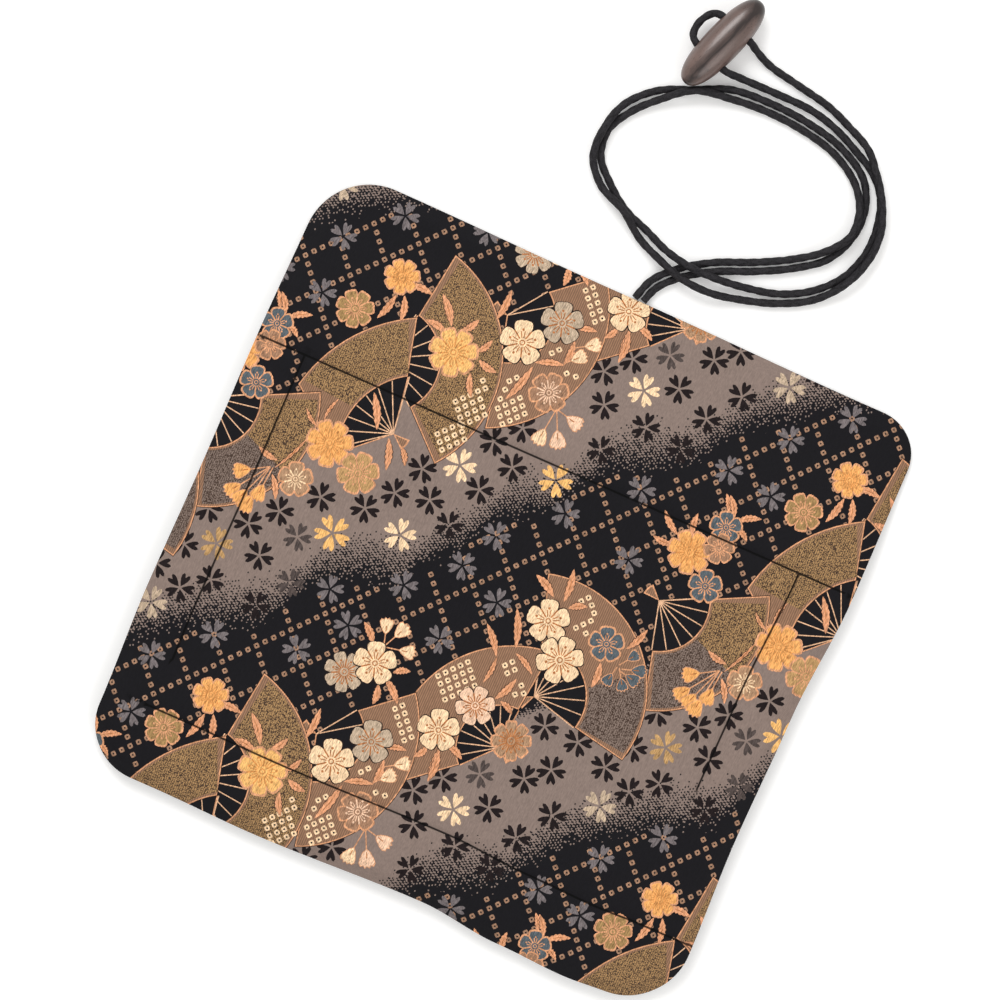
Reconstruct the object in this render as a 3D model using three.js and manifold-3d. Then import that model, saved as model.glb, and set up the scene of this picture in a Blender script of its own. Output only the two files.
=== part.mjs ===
// A padded cloth pen roll, opened out flat with its outside up, and its tie cord with a wooden toggle.
// Units are millimetres and Z is up. The cloth lies on Z = 0, and the origin is under its middle.
// Y points towards the edge that the cord leaves, and the pen slots on the underside run along X.

import * as THREE from 'three';
import { mergeVertices } from 'three/addons/utils/BufferGeometryUtils.js';
import Module from 'manifold-3d';

const wasm = await Module();
wasm.setup();

// The panel's outline, seen from above
const panelWidth = 243;
const panelDepth = 243.7;
const cornerRadius = { backLeft: 25, backRight: 17, frontLeft: 22, frontRight: 25 };

// How far each edge wanders inwards, as pairs of a place along the edge and a distance
const backWander = [[-100, 0], [0, 1.4], [100, 2.8]];
const frontWander = [[-90, 2.8], [-50, 2.0], [20, 4.1], [52, 1.1], [80, 0], [100, 1.1]];
const leftWander = [[-100, 1.4], [-50, 0], [0, 0.4], [50, 0], [100, 0.4]];
const rightWander = [[-100, 2.5], [-50, 3.8], [0, 3.0], [50, 0], [100, 0]];

// Cloth layers
const shellThickness = 0.8;
const paddingThickness = 2.2;
const paddingEdgeThickness = 0.9;
const paddingInset = 3;
const rimRound = 5;
const liningThickness = 0.6;
const layerGap = 0.3;

// Pen slots on the underside
const slotCount = 5;
const slotWidth = 28.9;
const slotHeight = 5.2;
const slotLength = 149;
const slotEndMargin = 17.5;
const frontMargin = 29;
const pocketThickness = 0.6;
const mouthHemWidth = 8;
const mouthHemExtra = 0.3;
const slotStitchRise = 6;
const slotEndRise = 10;
const slotLiftRun = 12;

// Cover flap that is folded over the mouths of the slots
const flapThickness = 0.8;
const flapOverlap = 20;
const flapRootMargin = 22.5;
const flapRise = 21;
const flapRootWidth = 2;

// The brocade's woven figures stand a little proud of its ground, the later ones over the earlier
const cloudRelief = 0.1;
const firstFanRelief = 0.25;
const fanReliefStep = 0.06;
const flowerRelief = 0.7;
const clothColor = { ground: 0x141417, cloud: 0x786a63 };

// Steps from one repeat of the brocade's drawing to the next, in its two directions
const repeatSteps = [[183.5, -2.4], [-2.4, -171.4]];

// Lower and upper edge of the pale cloud band in one repeat, left to right
const cloudLow = [
  [-121.5, -58], [-95, -43], [-75, -33], [-64, -14], [-50, -5], [-35, 0],
  [-20, 24], [-8, 39], [3, 44], [14, 64], [31, 74], [46, 84], [63, 105],
];
const cloudHigh = [[-121.5, 5], [-95, 40], [-70, 66], [-40, 78], [-10, 84], [20, 128], [63, 168]];

// Folding fans: centre and radius of the outer arc and of the inner one, and the ends of each in degrees
const fans = [
  {
    outer: [-77.2, 63.6, 46.6], inner: [-74, 62.5, 20.0],
    outerEnds: [-40, 76], innerEnds: [-40, 77], color: 0x8c6c42,
  },
  {
    outer: [-41.7, 28.8, 59.6], inner: [-47.5, 33.5, 30.6],
    outerEnds: [117.5, 168.5], innerEnds: [121.5, 200], color: 0x8c6c42,
  },
  {
    outer: [55.5, 20.9, 41.4], inner: [55.5, 20.9, 18.5],
    outerEnds: [-75, 26.5], innerEnds: [-75, 26.5], color: 0x6e625c,
  },
  {
    outer: [25.2, -27.7, 43.2], inner: [27, -30, 19.0],
    outerEnds: [-15.5, 106], innerEnds: [-15.5, 106], color: 0x846850,
  },
  {
    outer: [30.2, -58.1, 45.8], inner: [23.5, -53.5, 16.0],
    outerEnds: [94, 212], innerEnds: [88, 225], color: 0x846850,
  },
  {
    outer: [-48.0, 96.2, 46.7], inner: [-39, 95.7, 17.5],
    outerEnds: [-67, 38], innerEnds: [-75, 54], color: 0x846850,
  },
];

// Full flowers: middle, radius and color
const flowers = [
  [-80.7, 93, 7.5, 0xde9860], [-91.9, 75, 7.0, 0xa5824b], [-51.8, 74.8, 9.2, 0xe2be78],
  [-29.8, 88.5, 8.8, 0xf3debe], [-19.1, 101.2, 8.3, 0xa89886], [-13.2, 75.3, 7.4, 0xb08e6e],
  [2, 115.2, 8.2, 0xe2be78], [-80.3, 25.2, 9.0, 0xde9860], [-66.2, 19.3, 7.8, 0xc49c54],
  [-86.6, 7.9, 6.6, 0xb08e6e], [-102.5, -3.4, 6.4, 0xe2be78], [58.5, 42, 8.4, 0xde9860],
  [20.7, -2.6, 8.2, 0xf3debe], [30.5, -14.2, 9.2, 0xf3debe], [-41.2, -50.4, 7.8, 0xa89886],
  [-32, -42.9, 8.4, 0xf3debe], [8.5, -42.4, 7.6, 0xe4c4aa],
];
const flowerSides = 8;
const fanArcStep = 19;
const figureMargin = 1.5;
const prismHeight = 40;

// Seams sewn through all layers, and the drape of the margins outside the pen slots
const seamDepth = 1;
const seamReach = 5;
const seamFade = 12;
const endSeamInset = 2;
const endSeamFrontFade = 20;
const flapSeamFrontFade = 55;
const drapeRun = 62;

// Toggle
const toggleLength = 41.5;
const toggleRadius = 7;
const barrelStart = 2.3;
const barrelEnd = 2.4;
const toggleSpot = [-6.2, 221.1];
const toggleTurn = 69.8;
const toggleHoleSpacing = 14.2;
const toggleHoleRadius = 2.2;

// Cord
const cordDiameter = 3;
const cordLift = 0.1;

// The doubled cord from the seam to where its two strands part: x, y, lift, roll in degrees and spacing
const doubledRoute = [
  [3.7, 121.0, 0, 0, 3.4],
  [6.4, 128.4, 0, 0, 3.4],
  [13.4, 136.0, 0, 0, 3.4],
  [24.7, 143.5, 0, 0, 3.4],
  [38.2, 149.5, 0, 0, 3.4],
  [51.2, 156.5, 0, 5, 3.4],
  [61.2, 164.1, 0, 35, 3.6],
  [67.0, 174.0, 0, 75, 3.7],
  [66.8, 184.5, 0, 55, 3.7],
  [61.5, 194.4, 0, 5, 3.6],
  [49.7, 201.7, 0, 0, 3.4],
  [35.2, 205.2, 0, 0, 3.4],
  [19.2, 206.3, 0, 0, 3.4],
  [4.2, 205.1, 0, 20, 3.7],
  [-8.8, 200.9, 0, 80, 3.8],
  [-20.2, 194.1, 0, 20, 3.7],
  [-29.0, 185.0, 0, -5, 3.7],
  [-33.2, 174.5, 0, -65, 3.9],
  [-32.2, 163.6, 0, -35, 3.6],
  [-25.3, 155.6, 0, -20, 3.7],
  [-14.8, 149.3, 0, -75, 4.2],
  [-4.4, 143.7, 0.9, -5, 4.0],
  [5.2, 139.6, 3.2, 0, 4.2],
  [15.2, 137.0, 3.6, 0, 5.4],
  [26.2, 136.6, 2.9, 0, 5.8],
  [38.2, 138.6, 0, 0, 4.8],
  [51.2, 142.2, 0, 0, 3.6],
  [62.7, 148.6, 0, -5, 3.4],
  [71.2, 158.2, 0, -45, 3.6],
  [75.4, 169.5, 0, -50, 3.4],
  [75.4, 180.5, 0, -60, 3.4],
  [71.4, 191.8, 0, -88, 3.4],
  [65.5, 199.4, 0, -75, 3.4],
];

// Each strand by itself from there to its hole in the toggle
const lowerStrand = [
  [56.2, 204.2, 1.6], [45.8, 208.9, 1.6], [34.7, 211.7, 1.6],
  [19.2, 212.2, 1.6], [5.2, 212.0, 2.8],
];
const upperStrand = [
  [59.6, 206.6, 3.8], [49.2, 212.0, 1.6], [39.8, 215.6, 1.6],
  [26.2, 218.3, 1.6], [13.2, 220.9, 1.8], [6.2, 223.8, 4.4],
];

// The cord through the toggle: distance along it from its middle, distance across it and height
const throughToggle = [
  [-7.1, -8.0, 7.0], [-7.1, 0, 7.0], [-7.1, 6.5, 7.0],
  [-5.8, 9.8, 6.4], [-2.2, 11.5, 5.6], [2.2, 11.5, 5.6], [5.8, 9.8, 6.4],
  [7.1, 6.5, 7.0], [7.1, 0, 7.0], [7.1, -8.0, 7.0],
];

// Grid of the cloth solids
const rimLines = [0, 1, paddingInset, paddingInset + rimRound];
const widestStep = 26;
const closestLines = 0.7;

// Places worked out from the sizes above
const halfWidth = panelWidth / 2;
const halfDepth = panelDepth / 2;
const slotLeft = -halfWidth + slotEndMargin;
const slotMouth = slotLeft + slotLength;
const slotFront = -halfDepth + frontMargin;
const slotBack = slotFront + slotCount * slotWidth;
const flapTip = slotMouth - flapOverlap;
const flapRoot = halfWidth - flapRootMargin;
const mouthLift = flapThickness + layerGap;
const plateau = mouthLift + pocketThickness + mouthHemExtra + slotHeight;
const cordRadius = cordDiameter / 2;

// Seams: the line each one follows, and its two ends along that line
const seams = [
  { across: 'v', at: slotBack, from: -halfWidth, to: halfWidth },
  { across: 'v', at: slotFront, from: slotLeft, to: halfWidth },
  { across: 'u', at: slotLeft + endSeamInset, from: slotFront + endSeamFrontFade, to: slotBack },
  { across: 'u', at: flapRoot, from: slotFront + flapSeamFrontFade, to: slotBack },
];

function clamp(value, low, high) {
  return Math.min(Math.max(value, low), high);
}

// Eases from 0 to 1 while t runs from 0 to 1
function smooth(t) {
  const c = clamp(t, 0, 1);
  return c * c * (3 - 2 * c);
}

// Eases between the points of a short list of [place, value]
function along(list, place) {
  if (place <= list[0][0]) return list[0][1];
  for (let i = 1; i < list.length; i += 1) {
    const [start, first] = list[i - 1];
    const [end, second] = list[i];
    if (place <= end) return first + (second - first) * smooth((place - start) / (end - start));
  }
  return list[list.length - 1][1];
}

function radiusOfCorner(u, v) {
  if (v > 0) return u < 0 ? cornerRadius.backLeft : cornerRadius.backRight;
  return u < 0 ? cornerRadius.frontLeft : cornerRadius.frontRight;
}

// Takes a point of the flat rectangle to the real outline, with its round corners and wandering edges
function plan(u, v) {
  const radius = radiusOfCorner(u, v);
  const a = (Math.abs(u) - (halfWidth - radius)) / radius;
  const b = (Math.abs(v) - (halfDepth - radius)) / radius;
  let x = u;
  let y = v;
  if (a > 0 && b > 0) {
    const turn = (a >= b ? b / a : 2 - a / b) * Math.PI / 4;
    x = Math.sign(u) * (halfWidth - radius + radius * Math.max(a, b) * Math.cos(turn));
    y = Math.sign(v) * (halfDepth - radius + radius * Math.max(a, b) * Math.sin(turn));
  }
  const sideWander = x > 0 ? -along(rightWander, y) : along(leftWander, y);
  const endWander = y > 0 ? -along(backWander, x) : along(frontWander, x);
  return [x + sideWander * (x / halfWidth) ** 2, y + endWander * (y / halfDepth) ** 2];
}

function distanceFromEdge(u, v) {
  return Math.min(halfWidth - Math.abs(u), halfDepth - Math.abs(v));
}

// Height of the lining's underside: raised by the pen slots, and drooping outside them
function liningUnder(u, v) {
  const beyondU = Math.max(slotLeft - u, u - flapRoot, 0);
  const beyondV = Math.max(slotFront - v, v - slotBack, 0);
  return plateau * (1 - smooth(Math.hypot(beyondU, beyondV) / drapeRun));
}

// Depth of the groove that the seams draw into the padding
function seamGroove(u, v) {
  let groove = 0;
  for (const seam of seams) {
    const [aside, place] = seam.across === 'u' ? [u, v] : [v, u];
    const beyond = Math.max(seam.from - place, place - seam.to, 0);
    const depth = (1 - smooth(Math.abs(aside - seam.at) / seamReach)) * (1 - smooth(beyond / seamFade));
    groove = Math.max(groove, depth);
  }
  return seamDepth * groove;
}

function paddingHeight(u, v) {
  const inwards = clamp((distanceFromEdge(u, v) - paddingInset) / rimRound, 0, 1);
  const rounded = Math.sqrt(1 - (1 - inwards) ** 2);
  const full = paddingEdgeThickness + (paddingThickness - paddingEdgeThickness) * rounded;
  return full - seamGroove(u, v) * inwards;
}

// Height of the shell's underside over the lining's top
function shellLoft(u, v) {
  const overPadding = smooth(distanceFromEdge(u, v) / paddingInset);
  const height = distanceFromEdge(u, v) < paddingInset ? paddingEdgeThickness : paddingHeight(u, v);
  return layerGap + (height + layerGap) * overPadding;
}

// Sorted places for the lines of a grid, with the gaps between them no wider than the widest step
function gridLines(wanted) {
  const kept = [];
  for (const place of wanted) {
    if (kept.every((other) => Math.abs(other - place) > closestLines)) kept.push(place);
  }
  kept.sort((first, second) => first - second);
  const lines = [kept[0]];
  for (let i = 1; i < kept.length; i += 1) {
    const gap = kept[i] - kept[i - 1];
    const steps = Math.ceil(gap / widestStep);
    for (let k = 1; k <= steps; k += 1) lines.push(kept[i - 1] + gap * k / steps);
  }
  return lines;
}

// One closed sheet between two height functions, on the grid of us and vs
function sheet(us, vs, under, over) {
  const positions = [];
  for (const height of [under, over]) {
    for (const v of vs) {
      for (const u of us) positions.push(...plan(u, v), height(u, v));
    }
  }
  const layer = us.length * vs.length;
  const spot = (i, j) => j * us.length + i;
  const index = [];
  const addQuad = (a, b, c, d) => index.push(a, b, c, a, c, d);
  for (let j = 0; j + 1 < vs.length; j += 1) {
    for (let i = 0; i + 1 < us.length; i += 1) {
      const corners = [spot(i, j), spot(i + 1, j), spot(i + 1, j + 1), spot(i, j + 1)];
      addQuad(...corners.map((corner) => corner + layer));
      addQuad(corners[0], corners[3], corners[2], corners[1]);
    }
  }
  const rim = [];
  for (let i = 0; i + 1 < us.length; i += 1) rim.push(spot(i, 0));
  for (let j = 0; j + 1 < vs.length; j += 1) rim.push(spot(us.length - 1, j));
  for (let i = us.length - 1; i > 0; i -= 1) rim.push(spot(i, vs.length - 1));
  for (let j = vs.length - 1; j > 0; j -= 1) rim.push(spot(0, j));
  rim.forEach((start, k) => {
    const end = rim[(k + 1) % rim.length];
    addQuad(start, end, end + layer, start + layer);
  });
  const geometry = new THREE.BufferGeometry();
  geometry.setAttribute('position', new THREE.Float32BufferAttribute(positions, 3));
  geometry.setIndex(index);
  geometry.computeVertexNormals();
  return geometry;
}

function cloth(name, color, geometry) {
  const material = new THREE.MeshStandardMaterial({ color, roughness: 0.9, metalness: 0 });
  const mesh = new THREE.Mesh(geometry, material);
  mesh.name = name;
  return mesh;
}

// Lines shared by the three panel layers, so that they stay parallel between the lines too
function panelLines(half, seamPlaces, edges) {
  const wanted = [];
  for (const inset of rimLines) wanted.push(-half + inset, half - inset);
  for (const place of seamPlaces) wanted.push(place, place - seamReach, place + seamReach);
  wanted.push(...edges);
  return gridLines(wanted.filter((place) => Math.abs(place) <= half));
}

const drapeLines = [1, 2, 3, 4].map((quarter) => slotBack + drapeRun * quarter / 4);
const panelU = panelLines(halfWidth, [slotLeft + endSeamInset, flapRoot], [slotLeft - slotEndMargin / 2]);
const panelV = panelLines(halfDepth, [slotFront, slotBack], [slotFront - frontMargin / 2, ...drapeLines]);

function makePadding() {
  const inside = (half) => (place) => Math.abs(place) <= half - paddingInset + closestLines / 2;
  const under = (u, v) => liningUnder(u, v) + liningThickness + layerGap;
  const over = (u, v) => under(u, v) + paddingHeight(u, v);
  const us = panelU.filter(inside(halfWidth));
  const vs = panelV.filter(inside(halfDepth));
  return cloth('padding', 0xe9e4da, sheet(us, vs, under, over));
}

function makeLining() {
  const over = (u, v) => liningUnder(u, v) + liningThickness;
  return cloth('lining', 0x23201f, sheet(panelU, panelV, liningUnder, over));
}

// Lines across the slots, close together beside each row of stitches
function slotLines() {
  const lines = [];
  for (let k = 0; k <= slotCount; k += 1) {
    const stitch = slotFront + k * slotWidth;
    for (const part of [-1, -0.75, -0.5, -0.25, 0, 0.25, 0.5, 0.75, 1]) {
      const place = stitch + part * slotStitchRise;
      if (place >= slotFront && place <= slotBack) lines.push(place);
    }
  }
  return lines;
}

function makePocketPanel() {
  const thickness = (u) => pocketThickness + (u > slotMouth - mouthHemWidth ? mouthHemExtra : 0);
  const sewn = (u, v) => liningUnder(u, v) - layerGap - pocketThickness;
  const under = (u, v) => {
    const lying = mouthLift * smooth((u - (flapTip - slotLiftRun)) / (slotLiftRun - layerGap));
    const fromStitch = Math.abs(v - slotFront - Math.round((v - slotFront) / slotWidth) * slotWidth);
    const hang = smooth(fromStitch / slotStitchRise) * smooth((u - slotLeft) / slotEndRise);
    const hemmed = thickness(u) - pocketThickness;
    return sewn(u, v) - hemmed + (lying - sewn(u, v) + hemmed) * hang;
  };
  const over = (u, v) => under(u, v) + thickness(u);
  const ends = [slotLeft, slotMouth, slotMouth - mouthHemWidth, slotMouth - mouthHemWidth - 1, flapTip];
  const rises = [slotLeft + slotEndRise / 3, slotLeft + slotEndRise * 2 / 3, slotLeft + slotEndRise];
  const lifts = [flapTip - slotLiftRun, flapTip - slotLiftRun / 2];
  const us = gridLines([...ends, ...rises, ...lifts]);
  return cloth('pocket_panel', 0x2c2826, sheet(us, slotLines(), under, over));
}

function makeCoverFlap() {
  const sewn = (u, v) => liningUnder(u, v) - layerGap - flapThickness;
  const start = flapRoot - flapRise;
  const under = (u, v) => sewn(u, v) * smooth((u - start) / (flapRise - flapRootWidth));
  const over = (u, v) => under(u, v) + flapThickness;
  const rises = [0, 0.2, 0.4, 0.6, 0.8].map((part) => start + part * (flapRise - flapRootWidth));
  const us = gridLines([flapTip, flapRoot, ...rises, flapRoot - flapRootWidth]);
  const vs = gridLines([slotFront, slotBack]);
  return cloth('cover_flap', 0x332d2a, sheet(us, vs, under, over));
}

// A closed mesh as a solid whose every point carries a color
function toManifold(geometry, color = 0xffffff) {
  const bare = geometry.clone();
  bare.deleteAttribute('normal');
  bare.deleteAttribute('uv');
  const merged = mergeVertices(bare);
  const { r, g, b } = new THREE.Color(color);
  const points = merged.attributes.position;
  const properties = [];
  for (let i = 0; i < points.count; i += 1) {
    properties.push(points.getX(i), points.getY(i), points.getZ(i), r, g, b);
  }
  const mesh = new wasm.Mesh({
    numProp: 6,
    vertProperties: Float32Array.from(properties),
    triVerts: Uint32Array.from(merged.index.array),
  });
  return new wasm.Manifold(mesh);
}

function fromManifold(solid) {
  const { numProp, vertProperties, triVerts } = solid.getMesh();
  const table = new THREE.InterleavedBuffer(vertProperties, numProp);
  const geometry = new THREE.BufferGeometry();
  geometry.setAttribute('position', new THREE.InterleavedBufferAttribute(table, 3, 0));
  geometry.setAttribute('color', new THREE.InterleavedBufferAttribute(table, 3, 3));
  geometry.setIndex(new THREE.BufferAttribute(triVerts, 1));
  geometry.computeVertexNormals();
  return geometry;
}

// Points of an arc given by its centre, radius and end angles
function arcPoints([x, y, radius], [first, last]) {
  const steps = Math.max(2, Math.round(Math.abs(last - first) / fanArcStep));
  const points = [];
  for (let k = 0; k <= steps; k += 1) {
    const angle = THREE.MathUtils.degToRad(first + (last - first) * k / steps);
    points.push(new THREE.Vector2(x + radius * Math.cos(angle), y + radius * Math.sin(angle)));
  }
  return points;
}

function fanOutline(fan) {
  return [...arcPoints(fan.outer, fan.outerEnds), ...arcPoints(fan.inner, fan.innerEnds).reverse()];
}

function flowerOutline(x, y, radius) {
  const points = [];
  for (let k = 0; k < flowerSides; k += 1) {
    const angle = 2 * Math.PI * k / flowerSides;
    points.push(new THREE.Vector2(x + radius * Math.cos(angle), y + radius * Math.sin(angle)));
  }
  return points;
}

function cloudOutline() {
  return [...cloudLow, ...[...cloudHigh].reverse()].map(([x, y]) => new THREE.Vector2(x, y));
}

// Upright prisms of one outline, in every repeat of the drawing that reaches the cloth
function prismsOf(outline, color) {
  const prisms = [];
  for (const i of [-1, 0, 1]) {
    for (const j of [-1, 0, 1]) {
      const shift = new THREE.Vector2(
        i * repeatSteps[0][0] + j * repeatSteps[1][0],
        i * repeatSteps[0][1] + j * repeatSteps[1][1],
      );
      const moved = outline.map((point) => point.clone().add(shift));
      const box = new THREE.Box2().setFromPoints(moved);
      const apart = Math.abs(box.min.x + box.max.x) - (box.max.x - box.min.x) > panelWidth - 2 * figureMargin
        || Math.abs(box.min.y + box.max.y) - (box.max.y - box.min.y) > panelDepth - 2 * figureMargin;
      if (apart) continue;
      const options = { depth: prismHeight, bevelEnabled: false };
      const geometry = new THREE.ExtrudeGeometry(new THREE.Shape(moved), options);
      prisms.push(toManifold(geometry.translate(0, 0, -prismHeight / 2), color));
    }
  }
  return prisms;
}

// The brocade: its ground cloth, and over it the same cloth raised inside each woven figure
function makeShell() {
  const under = (u, v) => liningUnder(u, v) + liningThickness + shellLoft(u, v);
  const lifted = (rise, color) => {
    const low = (u, v) => under(u, v) + (rise === 0 ? 0 : shellThickness / 2);
    const high = (u, v) => under(u, v) + shellThickness + rise;
    return toManifold(sheet(panelU, panelV, low, high), color);
  };
  let solid = lifted(0, clothColor.ground);
  const weave = (outline, color, rise) => {
    const layer = lifted(rise, color);
    for (const prism of prismsOf(outline, color)) solid = solid.add(layer.intersect(prism));
  };
  weave(cloudOutline(), clothColor.cloud, cloudRelief);
  fans.forEach((fan, k) => weave(fanOutline(fan), fan.color, firstFanRelief + k * fanReliefStep));
  for (const [x, y, radius, color] of flowers) weave(flowerOutline(x, y, radius), color, flowerRelief);
  const material = new THREE.MeshStandardMaterial({ vertexColors: true, roughness: 0.9, metalness: 0 });
  const mesh = new THREE.Mesh(fromManifold(solid), material);
  mesh.name = 'outer_shell';
  return mesh;
}

// The toggle's own frame has its length along Y and its holes along X
function makeToggle() {
  const stations = 12;
  const sides = 24;
  const profile = [];
  for (let i = 0; i <= stations; i += 1) {
    const part = Math.cos(Math.PI * (1 - i / stations));
    const radius = toggleRadius * (1 - Math.abs(part) ** barrelStart) ** (1 / barrelEnd);
    profile.push(new THREE.Vector2(i % stations === 0 ? 0 : radius, part * toggleLength / 2));
  }
  let solid = toManifold(new THREE.LatheGeometry(profile, sides));
  for (const side of [-1, 1]) {
    const hole = new THREE.CylinderGeometry(toggleHoleRadius, toggleHoleRadius, toggleRadius * 3, 16);
    hole.rotateZ(Math.PI / 2);
    hole.translate(0, side * toggleHoleSpacing / 2, 0);
    solid = solid.subtract(toManifold(hole));
  }
  const material = new THREE.MeshStandardMaterial({ color: 0x5a4438, roughness: 0.3, metalness: 0 });
  const mesh = new THREE.Mesh(fromManifold(solid), material);
  mesh.name = 'toggle';
  mesh.position.set(...toggleSpot, toggleRadius);
  mesh.rotation.z = THREE.MathUtils.degToRad(toggleTurn - 90);
  return mesh;
}

// A curve that takes one ring of the tube at each of its points, which lie closer on tight bends
class CordCurve extends THREE.CatmullRomCurve3 {
  getUtoTmapping(u) {
    return u;
  }
}

// The two strands of the doubled route, the left one first
function splitStrands() {
  const strands = [[], []];
  doubledRoute.forEach(([x, y, lift, roll, spacing], i) => {
    const before = doubledRoute[Math.max(i - 1, 0)];
    const after = doubledRoute[Math.min(i + 1, doubledRoute.length - 1)];
    const ahead = i === 0 ? [0, 1] : [after[0] - before[0], after[1] - before[1]];
    const length = Math.hypot(...ahead);
    const angle = THREE.MathUtils.degToRad(roll);
    const aside = Math.cos(angle) * spacing / 2;
    const above = Math.sin(angle) * spacing / 2;
    const middle = cordRadius + cordLift + lift + Math.abs(above);
    [1, -1].forEach((side, k) => {
      const dx = -ahead[1] / length * aside * side;
      const dy = ahead[0] / length * aside * side;
      strands[k].push(new THREE.Vector3(x + dx, y + dy, middle + above * side));
    });
  });
  return strands;
}

function cordPoints() {
  const [left, right] = splitStrands();
  const turn = THREE.MathUtils.degToRad(toggleTurn);
  const inToggle = throughToggle.map(([s, t, z]) => new THREE.Vector3(
    toggleSpot[0] + Math.cos(turn) * s - Math.sin(turn) * t,
    toggleSpot[1] + Math.sin(turn) * s + Math.cos(turn) * t,
    z,
  ));
  const loose = (list) => list.map((point) => new THREE.Vector3(...point));
  const goingOut = [...left, ...loose(lowerStrand)];
  const comingBack = [...right, ...loose(upperStrand)].reverse();
  return [...goingOut, ...inToggle, ...comingBack];
}

function makeCord() {
  const sides = 8;
  const section = new THREE.Shape();
  for (let k = 0; k < sides; k += 1) {
    const angle = 2 * Math.PI * k / sides;
    const point = [cordRadius * Math.cos(angle), cordRadius * Math.sin(angle)];
    if (k === 0) section.moveTo(...point);
    else section.lineTo(...point);
  }
  section.closePath();
  const points = cordPoints();
  const route = new CordCurve(points);
  const geometry = new THREE.ExtrudeGeometry(section, { steps: points.length - 1, extrudePath: route });
  const material = new THREE.MeshStandardMaterial({ color: 0x1d1c1e, roughness: 0.8, metalness: 0 });
  const mesh = new THREE.Mesh(geometry, material);
  mesh.name = 'cord';
  return mesh;
}

const penRoll = new THREE.Group();
penRoll.add(makeShell(), makePadding(), makeLining(), makePocketPanel(), makeCoverFlap());
penRoll.add(makeToggle(), makeCord());

export default penRoll;
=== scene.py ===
"""Looks of a padded cloth pen roll: brocade, lining, pen slots, wooden toggle and braided tie cord."""

import math

import bmesh
import bpy
import numpy as np
from mathutils import Matrix, Vector
from mathutils.geometry import delaunay_2d_cdt


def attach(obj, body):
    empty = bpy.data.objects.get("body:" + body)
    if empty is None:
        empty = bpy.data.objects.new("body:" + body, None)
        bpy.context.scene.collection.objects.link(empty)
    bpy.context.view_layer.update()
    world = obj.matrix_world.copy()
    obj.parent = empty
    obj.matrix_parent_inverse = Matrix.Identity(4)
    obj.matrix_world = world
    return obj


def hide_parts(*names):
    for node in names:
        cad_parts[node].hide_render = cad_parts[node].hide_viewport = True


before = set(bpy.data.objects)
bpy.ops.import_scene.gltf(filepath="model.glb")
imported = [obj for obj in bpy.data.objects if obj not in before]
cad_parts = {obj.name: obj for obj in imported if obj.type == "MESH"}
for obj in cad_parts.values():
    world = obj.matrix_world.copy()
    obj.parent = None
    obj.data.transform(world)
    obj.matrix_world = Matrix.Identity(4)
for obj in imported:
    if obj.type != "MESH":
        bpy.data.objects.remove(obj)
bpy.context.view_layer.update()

MM = 0.001

# The panel's outline, in metres like every size from here to the brocade's drawing
HALF_WIDTH = 0.1215
HALF_DEPTH = 0.12185
CORNER_RADIUS = {(-1, 1): 0.025, (1, 1): 0.017, (-1, -1): 0.022, (1, -1): 0.025}
BACK_WANDER = [(-0.100, 0), (0, 0.0014), (0.100, 0.0028)]
FRONT_WANDER = [
    (-0.090, 0.0028), (-0.050, 0.0020), (0.020, 0.0041), (0.052, 0.0011), (0.080, 0), (0.100, 0.0011),
]
LEFT_WANDER = [(-0.100, 0.0014), (-0.050, 0), (0, 0.0004), (0.050, 0), (0.100, 0.0004)]
RIGHT_WANDER = [(-0.100, 0.0025), (-0.050, 0.0038), (0, 0.0030), (0.050, 0), (0.100, 0)]

# Cloth layers
SHELL_THICKNESS = 0.0008
PADDING_THICKNESS = 0.0022
PADDING_EDGE = 0.0009
PADDING_INSET = 0.003
RIM_ROUND = 0.005
LINING_THICKNESS = 0.0006
LAYER_GAP = 0.0003

# Pen slots, the flap over their mouths and the seams
SLOT_COUNT = 5
SLOT_WIDTH = 0.0289
SLOT_LEFT = -0.104
SLOT_MOUTH = 0.045
SLOT_FRONT = -0.09285
SLOT_BACK = SLOT_FRONT + SLOT_COUNT * SLOT_WIDTH
POCKET_THICKNESS = 0.0006
MOUTH_HEM_WIDTH = 0.008
MOUTH_HEM_EXTRA = 0.0003
SLOT_STITCH_RISE = 0.006
SLOT_END_RISE = 0.010
SLOT_LIFT_RUN = 0.012
FLAP_THICKNESS = 0.0008
FLAP_TIP = 0.025
FLAP_ROOT = 0.099
FLAP_RISE = 0.021
FLAP_ROOT_WIDTH = 0.002
MOUTH_LIFT = 0.0011
PLATEAU = 0.0072
DRAPE_RUN = 0.062

# Seams: the direction held, its place, and both ends along the seam
SEAM_DEPTH = 0.0011
SEAM_REACH = 0.005
SEAM_FADE = 0.012
# How far from a seam's stitches its line of painted shade reaches
SEAM_LINE = 0.0005
SIDE_SEAM_INSET = 0.002
LEFT_SEAM_START = 0.020
RIGHT_SEAM_START = 0.055
SEAMS = [
    ("v", SLOT_BACK, -HALF_WIDTH, HALF_WIDTH),
    ("v", SLOT_FRONT, SLOT_LEFT, HALF_WIDTH),
    ("u", SLOT_LEFT + SIDE_SEAM_INSET, SLOT_FRONT + LEFT_SEAM_START, SLOT_BACK),
    ("u", FLAP_ROOT, SLOT_FRONT + RIGHT_SEAM_START, SLOT_BACK),
]

# Toggle
TOGGLE_LENGTH = 0.0415
TOGGLE_RADIUS = 0.007
BARREL_START = 2.3
BARREL_END = 2.4
TOGGLE_SPOT = (-0.0062, 0.2211)
TOGGLE_TURN = 69.8
TOGGLE_HOLE_SPACING = 0.0142
TOGGLE_HOLE_RADIUS = 0.0022

# Cord
CORD_DIAMETER = 0.003
CORD_RADIUS = CORD_DIAMETER / 2
CORD_LIFT = 0.0001

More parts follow.
